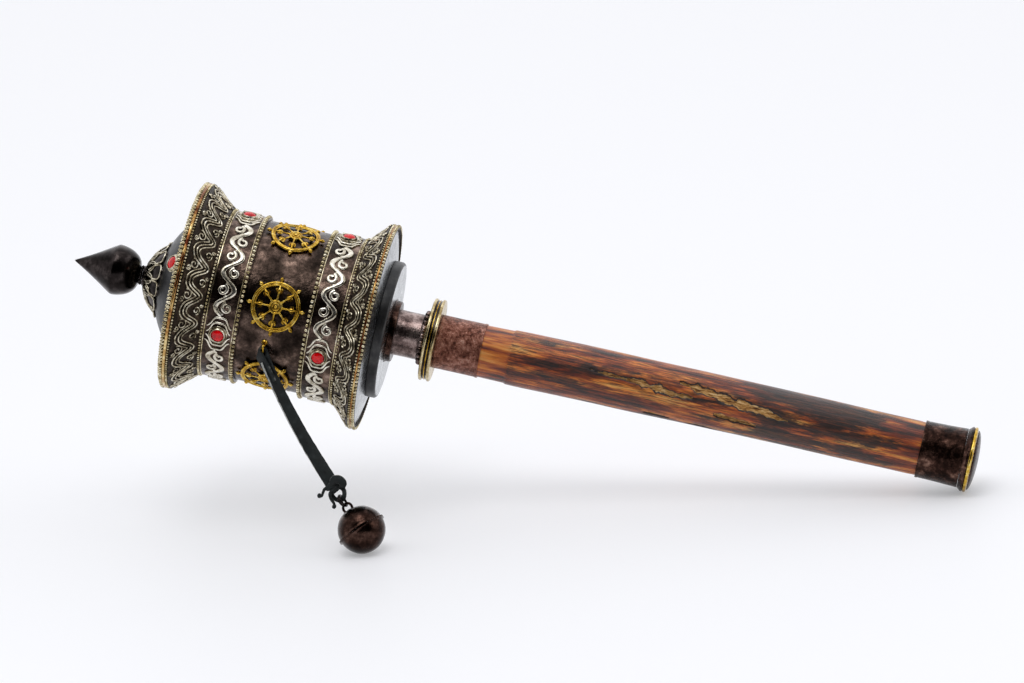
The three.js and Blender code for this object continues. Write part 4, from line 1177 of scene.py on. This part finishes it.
class PW_OT_flares(bpy.types.Operator):
    """Conical flares with wire filigree, and the beaded gilt rims"""

    bl_idname = "prayer_wheel.flares"
    bl_label = "Flares and rims"

    def execute(self, context):
        for side in ("lower", "upper"):
            flare, rim = Span(f"{side}_flare"), Span(f"{side}_rim")
            up = 1 if side == "upper" else -1
            narrow_z, wide_z = (flare.low, flare.high) if up > 0 else (flare.high, flare.low)
            narrow, wide = flare.reach(narrow_z), flare.reach(wide_z)
            build_cone(side, narrow, wide, narrow_z, wide_z)
            build_filigree(side, narrow, wide, narrow_z, wide_z)
            build_rim(side, rim, up)
        return {"FINISHED"}


# ---- jewels and medallions ----------------------------------------------------
DOME_RADIUS = 31.7 * MM


def jewel_place(name):
    """Matrix that stands a jewel on its surface: local z points out of the wall."""
    points = [LEVEL @ v.co for v in frame["nodes"][f"bezel_{name}"].data.vertices]
    middle = sum(points, Vector()) / len(points)
    if name == "lid":
        out = (middle - lid_sphere_centre()).normalized()
    else:
        out = Vector((middle.x, middle.y, 0)).normalized()
    foot = min(p.dot(out) for p in points)
    seat = middle + out * (foot - middle.dot(out))
    turn = out.to_track_quat("Z", "Y").to_matrix().to_4x4()
    turn.translation = seat
    return turn


def lid_sphere_centre():
    """The dome's sphere is centred on the axle, as deep below its brim as the frame's dome shows."""
    sphere = DOME_RADIUS
    lid = Span("dome_lid")
    brim = max(z for r, z in lid.rings if r > lid.outer - 0.2 * MM)
    foot = max(r for r, z in lid.rings if abs(z - brim) < 0.05 * MM and r < lid.outer - 2 * MM)
    return Vector((0, 0, brim - math.sqrt(sphere ** 2 - foot ** 2)))


def build_jewel(name, body):
    place = jewel_place(name)
    stone, height = 2.3 * MM, 1.9 * MM
    dome = [(stone * math.cos(a), height * 0.34 + height * 0.66 * math.sin(a))
            for a in (math.radians(d) for d in range(0, 90, 10))]
    bm = turned([(0, 0.12 * MM), (stone * 0.9, 0.12 * MM), *dome, (0, height)], 40)
    bmesh.ops.transform(bm, verts=bm.verts, matrix=place)
    piece(f"stone_{name}_piece", bm, body, "coral", [f"stone_{name}"], 50)
    bezel = stone + 0.12 * MM
    wall = 0.3 * MM
    outline = [(bezel, 0.0), (bezel + 0.75 * MM, 0.0), (bezel + 0.7 * MM, 0.25 * MM),
        (bezel + wall, 0.4 * MM),
               (bezel + wall, 1.1 * MM), (bezel + 0.05 * MM, 1.4 * MM), (bezel - 0.18 * MM, 1.36 * MM),
               (bezel, 1.1 * MM)]
    bm = turned(outline, 48)
    add_torus(bm, bezel + 0.55 * MM, 0.24 * MM, Matrix.Translation((0, 0, 0.4 * MM)), 40, 8)
    bmesh.ops.transform(bm, verts=bm.verts, matrix=place)
    piece(f"bezel_{name}_piece", bm, body, "wire", [f"bezel_{name}"], 45)


def build_cloud(name):
    """Ogee wires round a stone, two on each side, that meet at points by the band's edges."""
    _, angle, z = centre(f"stone_{name}")
    side = name.split("_")[0]
    sheet = Span(f"{side}_band").inner + 0.85 * MM
    eye = []
    for sign in (-1, 1):
        for rise, flat, wide in ((4.1, 0.25, 4.1), (5.9, 2.3, 4.2)):
            line = []
            for i in range(41):
                x = -wide + 2 * wide * i / 40
                bulge = 1 / (1 + (x / 2.75) ** 6)
                line.append(on_wall(sheet + 0.1 * MM,
                    angle + sign * (flat + (rise - flat) * bulge) * MM / sheet,
                                    z + x * MM))
            eye.append((line, [0.75 + 0.4 * math.sin(math.pi * i / 40) for i in range(41)]))
    bm = bmesh.new()
    absorb(bm, wires(eye, 0.38 * MM, 4))
    piece(f"cloud_{name}", bm, "drum", "relief", (), 60)


class PW_OT_jewels(bpy.types.Operator):
    """Red cabochons in their bezels, with wire clouds round the ones on the bands"""

    bl_idname = "prayer_wheel.jewels"
    bl_label = "Jewels"

    def execute(self, context):
        names = [f"{side}_{i}" for side in ("upper", "lower") for i in range(1, 5)]
        for name in names:
            build_jewel(name, "drum")
            build_cloud(name)
        build_jewel("lid", "lid")
        return {"FINISHED"}


def build_medallion(name, wall, angle, z):
    """Built flat, x round the wall and y along the axle, then bent onto the drum."""
    bm = bmesh.new()
    ring = 7.85 * MM
    add_torus(bm, ring, 0.48 * MM, Matrix.Translation((0, 0, 0.6 * MM)), 72, 10)
    add_torus(bm, ring - 0.72 * MM, 0.3 * MM, Matrix.Translation((0, 0, 0.5 * MM)), 72, 8)
    add_torus(bm, 2.0 * MM, 0.33 * MM, Matrix.Translation((0, 0, 0.65 * MM)), 40, 8)
    add_torus(bm, 1.15 * MM, 0.26 * MM, Matrix.Translation((0, 0, 0.75 * MM)), 32, 8)
    bmesh.ops.create_cone(bm, cap_ends=True, segments=32, radius1=2.0 * MM, radius2=1.85 * MM,
        depth=0.5 * MM,
                          matrix=Matrix.Translation((0, 0, 0.45 * MM)))
    add_ball(bm, Vector((0, 0, 0.62 * MM)), 0.62 * MM)
    for k in range(8):
        add_spoke(bm, k * TAU / 8, ring)
    for corner in bm.verts:
        x, y, up = corner.co
        corner.co = on_wall(wall + 0.3 * MM + up, angle + x / wall, z + y)
    piece(f"{name}_piece", bm, "drum", "brass", [name], 50)


class PW_OT_medallions(bpy.types.Operator):
    """Eight-spoked brass wheels bent round the plain wall"""

    bl_idname = "prayer_wheel.medallions"
    bl_label = "Medallions"

    def execute(self, context):
        wall = Span("drum_wall").outer
        for i in range(1, 7):
            _, angle, z = centre(f"medallion_{i}")
            build_medallion(f"medallion_{i}", wall, angle, z)
        return {"FINISHED"}


def add_spoke(bm, angle, ring):
    """A spoke with a lotus bud near its tip, and a knob beyond the ring."""
    turn = Matrix.Rotation(angle, 4, "Z")
    spine = [Vector((r * MM, 0, 0.62 * MM)) for r in (1.9, 3.0, 4.2, 4.7, 5.2, 5.9, 6.6, 7.2)]
    thick = [0.95, 0.7, 0.62, 0.95, 1.55, 1.15, 0.6, 0.55]
    absorb_turned(bm, wires([(spine, thick)], 0.46 * MM, 4), turn)
    petals = []
    for side in (-1, 1):
        petals.append((smooth_route([Vector((4.5, 0.1 * side, 0.6)) * MM,
            Vector((5.0, 0.75 * side, 0.6)) * MM,
                                     Vector((5.7, 1.0 * side, 0.6)) * MM,
                                     Vector((6.1, 0.7 * side, 0.62)) * MM], 3),
                       [0.6, 0.75, 0.9, 1.0, 1.0, 0.95, 0.9, 0.8, 0.65, 0.5]))
    absorb_turned(bm, wires(petals, 0.34 * MM, 3), turn)
    neck = turn @ Vector((ring + 0.65 * MM, 0, 0.6 * MM))
    knob = turn @ Vector((ring + 1.15 * MM, 0, 0.62 * MM))
    add_ball(bm, neck, 0.5 * MM, 2)
    add_ball(bm, knob, 0.72 * MM, 2)
    tip = turn @ Vector((ring + 1.72 * MM, 0, 0.58 * MM))
    add_ball(bm, tip, 0.36 * MM, 2)


def absorb_turned(bm, mesh, turn):
    mesh.transform(turn)
    absorb(bm, mesh)


# ---- lid and finial -----------------------------------------------------------
def build_dome():
    sphere = DOME_RADIUS
    lid = Span("dome_lid")
    sphere_z = lid_sphere_centre().z
    brim = max(z for r, z in lid.rings if r > lid.outer - 0.2 * MM)
    brim_low = brim - 0.8 * MM
    foot = math.sqrt(sphere ** 2 - (brim - sphere_z) ** 2)
    cap = Span("petal_cap")
    crown = 13.3 * MM
    crown_z = cap.high - crown - 0.6 * MM
    apart = crown_z - sphere_z
    up = (sphere ** 2 - crown ** 2 + apart ** 2) / (2 * apart)
    neck = math.sqrt(sphere ** 2 - up ** 2)
    hole = 3.55 * MM
    spigot = 26.15 * MM
    under = sphere - 1.0 * MM
    under_foot = math.sqrt(under ** 2 - (brim - sphere_z) ** 2)
    outline = [(spigot - 1.0 * MM, lid.low), (spigot, lid.low), (spigot, brim_low), (lid.outer, brim_low),
               (lid.outer, brim), *arc(sphere, sphere_z, foot, neck, 24),
               *arc(crown, crown_z, neck, hole, 10)[1:],
               *arc(under, sphere_z, hole, under_foot, 12), (spigot - 1.0 * MM, brim_low - 1.0 * MM)]
    piece("dome_lid_piece", turned(outline, 160, 0.05 * MM), "lid", "charcoal", ["dome_lid"])


def build_petals():
    """A blackened cap of overlapping petals, each with a bright wire round its tip."""
    sphere = DOME_RADIUS
    cap = Span("petal_cap")
    outer = 13.9 * MM
    crown_z = cap.high - outer
    sphere_z = lid_sphere_centre().z
    inner = 3.6 * MM
    bm = bmesh.new()
    spin_profile(bm, [*arc(outer - 0.05 * MM, crown_z, 11.2 * MM, inner, 16),
                      *arc(outer - 0.48 * MM, crown_z, inner, 10.9 * MM, 8)], 96)
    count = 12
    wire_paths = []
    for i in range(count):
        for size, shift, lift in ((1.0, 0.0, 0.2 * MM), (0.76, 0.5, 0.15 * MM)):
            edge = petal_outline((i + shift) * TAU / count, TAU / count, size)
            wire_paths.append([lay_on_lid(r, a, outer, crown_z, sphere, sphere_z, lift) for r, a in edge])
    piece("petal_cap_piece", bm, "lid", "blackened", ["petal_cap"], 50)
    bm = bmesh.new()
    absorb(bm, wires(wire_paths[::2], 0.3 * MM, 4))
    absorb(bm, wires(wire_paths[1::2], 0.26 * MM, 3))
    piece("petal_cap_wires", bm, "lid", "wire", (), 60)
    bm = bmesh.new()
    for i in range(count):
        middle = i * TAU / count
        edge = petal_outline(middle, TAU / count, 1.0)
        top = [bm.verts.new(lay_on_lid(r, a, outer, crown_z, sphere, sphere_z, -0.12 * MM)) for r,
            a in edge]
        bmesh.ops.contextual_create(bm, geom=top)
    thick = bmesh.ops.extrude_face_region(bm, geom=bm.faces[:])
    bmesh.ops.translate(bm, verts=[v for v in thick["geom"] if isinstance(v, bmesh.types.BMVert)],
                        vec=(0, 0, -0.35 * MM))
    bmesh.ops.recalc_face_normals(bm, faces=bm.faces)
    piece("petal_tips", bm, "lid", "blackened", (), 30)


def petal_outline(middle, pitch, size):
    """Outline of one petal's tip as (radius, angle): up one side, round the tip and back."""
    half = pitch / 2 * 0.9
    tip = 13.0 * MM * size
    shoulder, root = tip - 2.9 * MM, tip - 5.6 * MM
    edge = []
    for j in range(25):
        t = j / 12 - 1
        past = max(0.0, (abs(t) - 0.6) / 0.4)
        bow = min(1.0, abs(t) / 0.6) * math.pi / 2
        reach = shoulder + (tip - shoulder) * math.cos(bow) - (shoulder - root) * past
        edge.append((reach, middle + math.copysign(half * math.sin(bow) * (1 - 0.45 * past), t)))
    return edge


def lay_on_lid(reach, angle, outer, crown_z, sphere, sphere_z, lift):
    """Lays a point on the crown, or on the dome where the crown has run out."""
    crown = crown_z + math.sqrt(max(0, outer ** 2 - reach ** 2))
    dome = sphere_z + math.sqrt(sphere ** 2 - reach ** 2) + 0.35 * MM
    return on_wall(reach, angle, max(crown, dome) + lift)


def build_finial():
    foot = Span("finial")
    collar = Span("finial_collar")
    belly_z = foot.low + 8.0 * MM
    tip = foot.high
    belly, neck, bore = foot.outer - 0.05 * MM, 2.75 * MM, 1.6 * MM
    bowl = [(neck + (belly - neck) * math.cos(a) ** 0.92,
        belly_z - (belly_z - foot.low - 0.1 * MM) * math.sin(a) ** 1.12)
            for a in (math.radians(d) for d in range(88, 0, -7))]
    shoulder = [(belly, belly_z), (belly - 0.03 * MM, belly_z + 0.35 * MM),
        (belly - 0.22 * MM, belly_z + 0.8 * MM)]
    rest = tip - shoulder[-1][1]
    cone = [(shoulder[-1][0] * (1 - t) - 0.25 * MM * math.sin(math.pi * t) + 0.1 * MM,
        shoulder[-1][1] + rest * t)
            for t in (0.12, 0.25, 0.4, 0.55, 0.7, 0.85, 0.95)]
    bm = bmesh.new()
    spin_profile(bm, [(bore, foot.low), (neck, foot.low), *bowl, *shoulder, *cone, (0, tip),
                      (0, foot.low + 8 * MM), (bore, foot.low + 8 * MM)], 128)
    piece("finial_piece", bm, "finial", "blackened", ["finial"], 25)
    bead = 0.48 * MM
    bm = turned([(bore, collar.low), (collar.outer - 2 * bead, collar.low),
        (collar.outer - 2 * bead, collar.high),
                 (bore, collar.high)], 48)
    add_beads(bm, collar.outer - bead * 1.1, collar.middle, bead, bead * 2.3)
    piece("finial_collar_piece", bm, "finial_foot", "blackened", ["finial_collar"], 60)


class PW_OT_lid(bpy.types.Operator):
    """Domed lid, its petal cap and the finial"""

    bl_idname = "prayer_wheel.lid"
    bl_label = "Lid and finial"

    def execute(self, context):
        build_dome()
        build_petals()
        build_finial()
        return {"FINISHED"}


class PW_OT_inside(bpy.types.Operator):
    """Finishes for the pieces inside the drum, which keep the frame's shapes, and the rolled scroll"""

    bl_idname = "prayer_wheel.inside"
    bl_label = "Inside pieces"

    def execute(self, context):
        kept = {"axle_rod": "steel", "thrust_washer": "brass", "lower_bush": "brass",
            "upper_bush": "blackened",
                "scroll_tube": "ferrule_copper"}
        for node_name, material in kept.items():
            mesh = frame["nodes"][node_name].data
            mesh.materials.clear()
            mesh.materials.append(finish(material))
        roll = Span("mantra_scroll")
        bm = turned([(roll.inner, roll.low), (roll.outer, roll.low), (roll.outer, roll.high),
            (roll.inner, roll.high)],
                    128, 0.1 * MM)
        turns, start = 26, roll.inner + 0.4 * MM
        coil = []
        for i in range(turns * 40):
            t = i / (turns * 40 - 1)
            coil.append(on_wall(start + (roll.outer - 0.5 * MM - start) * t, t * turns * TAU,
                roll.high + 0.02 * MM))
        absorb(bm, wires([coil], 0.14 * MM, 3))
        piece("mantra_scroll_piece", bm, "drum", "paper", ["mantra_scroll"], 50)
        return {"FINISHED"}


# ---- stage --------------------------------------------------------------------
def place_camera(context):
    """A long lens from slightly above, a little to the right, rolled a few degrees."""
    elevation, azimuth, roll = math.radians(17.6), math.radians(7.6), math.radians(3.8)
    distance, lens = 2.333, 246.1
    back = Vector((math.sin(azimuth) * math.cos(elevation), -math.cos(azimuth) * math.cos(elevation),
                   math.sin(elevation)))
    level = Vector((0, 0, 1)).cross(back).normalized()
    lifted = back.cross(level)
    right = level * math.cos(roll) - lifted * math.sin(roll)
    up = level * math.sin(roll) + lifted * math.cos(roll)
    eye = back * distance
    aim = right * -0.0630 + up * 0.0194
    away = (eye - aim).normalized()
    right = (right - away * right.dot(away)).normalized()
    data = bpy.data.cameras.new("camera")
    data.lens = lens
    data.sensor_width = 36.0
    data.clip_end = 50
    camera = bpy.data.objects.new("camera", data)
    camera.matrix_world = Matrix.Translation(eye) @ Matrix((right, away.cross(right),
        away)).transposed().to_4x4()
    context.scene.collection.objects.link(camera)
    context.scene.camera = camera


def place_floor(context):
    level = CAD_BOX[0][2]
    bm = bmesh.new()
    bmesh.ops.create_grid(bm, x_segments=1, y_segments=1, size=6.0,
        matrix=Matrix.Translation((0, 0, level)))
    mesh = bpy.data.meshes.new("floor")
    bm.to_mesh(mesh)
    bm.free()
    material, _, principled = new_material("matt_white_paper_sweep", Roughness=0.55,
        Specular_IOR_Level=0.25)
    principled.inputs["Base Color"].default_value = (*context.scene.prayer_wheel_stage.floor_colour, 1)
    principled.inputs["Emission Color"].default_value = linear("#fafbfd")
    principled.inputs["Emission Strength"].default_value = 0.31
    mesh.materials.append(material)
    floor = bpy.data.objects.new("floor", mesh)
    context.scene.collection.objects.link(floor)


def place_lights(context):
    power = context.scene.prayer_wheel_stage.key_power
    middle = Vector((-0.05, 0, 0.02))
    rigs = [
        ("overhead", (-0.15, -0.42, 1.4), 0.75, power, "#ffffff"),
        ("back_box", (-0.3, 1.3, 1.2), 1.0, power * 0.3, "#fbfdff"),
        ("right_box", (1.4, -0.35, 0.8), 0.5, power * 0.2, "#fffaf4"),
    ]
    for name, place, size, watts, colour in rigs:
        data = bpy.data.lights.new(name, "AREA")
        data.shape = "SQUARE"
        data.size = size
        data.energy = watts
        data.color = linear(colour)[:3]
        lamp = bpy.data.objects.new(name, data)
        lamp.location = place
        lamp.rotation_euler = (Vector(place) - middle).to_track_quat("Z", "Y").to_euler()
        context.scene.collection.objects.link(lamp)
    world = bpy.data.worlds.new("studio")
    context.scene.world = world
    world.use_nodes = True
    tree = world.node_tree
    way = add(tree, "ShaderNodeTexCoord").outputs["Generated"]
    toward_front = add(tree, "ShaderNodeVectorMath", {0: way, 1: (0.15, -0.93, 0.12)},
                       operation="DOT_PRODUCT").outputs["Value"]
    tent = add(tree, "ShaderNodeMapRange", {
        "Value": toward_front, "From Min": 0.2, "From Max": 0.62, "To Min": 1.16, "To Max": 0.03})
    background = tree.nodes["Background"]
    background.inputs["Color"].default_value = linear("#f6f7fa")
    tree.links.new(tent.outputs[0], background.inputs["Strength"])
    context.scene.view_settings.view_transform = "Standard"


class PW_OT_stage(bpy.types.Operator):
    """Pale floor, soft studio lights and the camera"""

    bl_idname = "prayer_wheel.stage"
    bl_label = "Stage"

    def execute(self, context):
        place_camera(context)
        place_floor(context)
        place_lights(context)
        return {"FINISHED"}


# ---- panel and registration ---------------------------------------------------
OPERATORS = [
    PW_OT_stage, PW_OT_ball, PW_OT_strap, PW_OT_lug, PW_OT_grip, PW_OT_handle_metal, PW_OT_drum_shell,
    PW_OT_bands, PW_OT_flares, PW_OT_jewels, PW_OT_medallions, PW_OT_lid, PW_OT_inside,
]


class PW_PT_panel(bpy.types.Panel):
    """Lists the sizes and the steps that build the prayer wheel"""

    bl_label = "Prayer Wheel"
    bl_idname = "PW_PT_panel"
    bl_space_type = "VIEW_3D"
    bl_region_type = "UI"
    bl_category = "Prayer Wheel"

    def draw(self, context):
        for group in (context.scene.prayer_wheel_sizes, context.scene.prayer_wheel_stage):
            for name in group.__annotations__:
                self.layout.prop(group, name)
        for operator in OPERATORS:
            self.layout.operator(operator.bl_idname)


CLASSES = [PrayerWheelSizes, PrayerWheelStage, *OPERATORS, PW_PT_panel]


def register():
    for cls in CLASSES:
        bpy.utils.register_class(cls)
    bpy.types.Scene.prayer_wheel_sizes = PointerProperty(type=PrayerWheelSizes)
    bpy.types.Scene.prayer_wheel_stage = PointerProperty(type=PrayerWheelStage)


def unregister():
    del bpy.types.Scene.prayer_wheel_sizes
    del bpy.types.Scene.prayer_wheel_stage
    for cls in reversed(CLASSES):
        bpy.utils.unregister_class(cls)


def main():
    register()
    for operator in OPERATORS:
        group, name = operator.bl_idname.split(".")
        getattr(getattr(bpy.ops, group), name)()


if __name__ == "__main__":
    main()
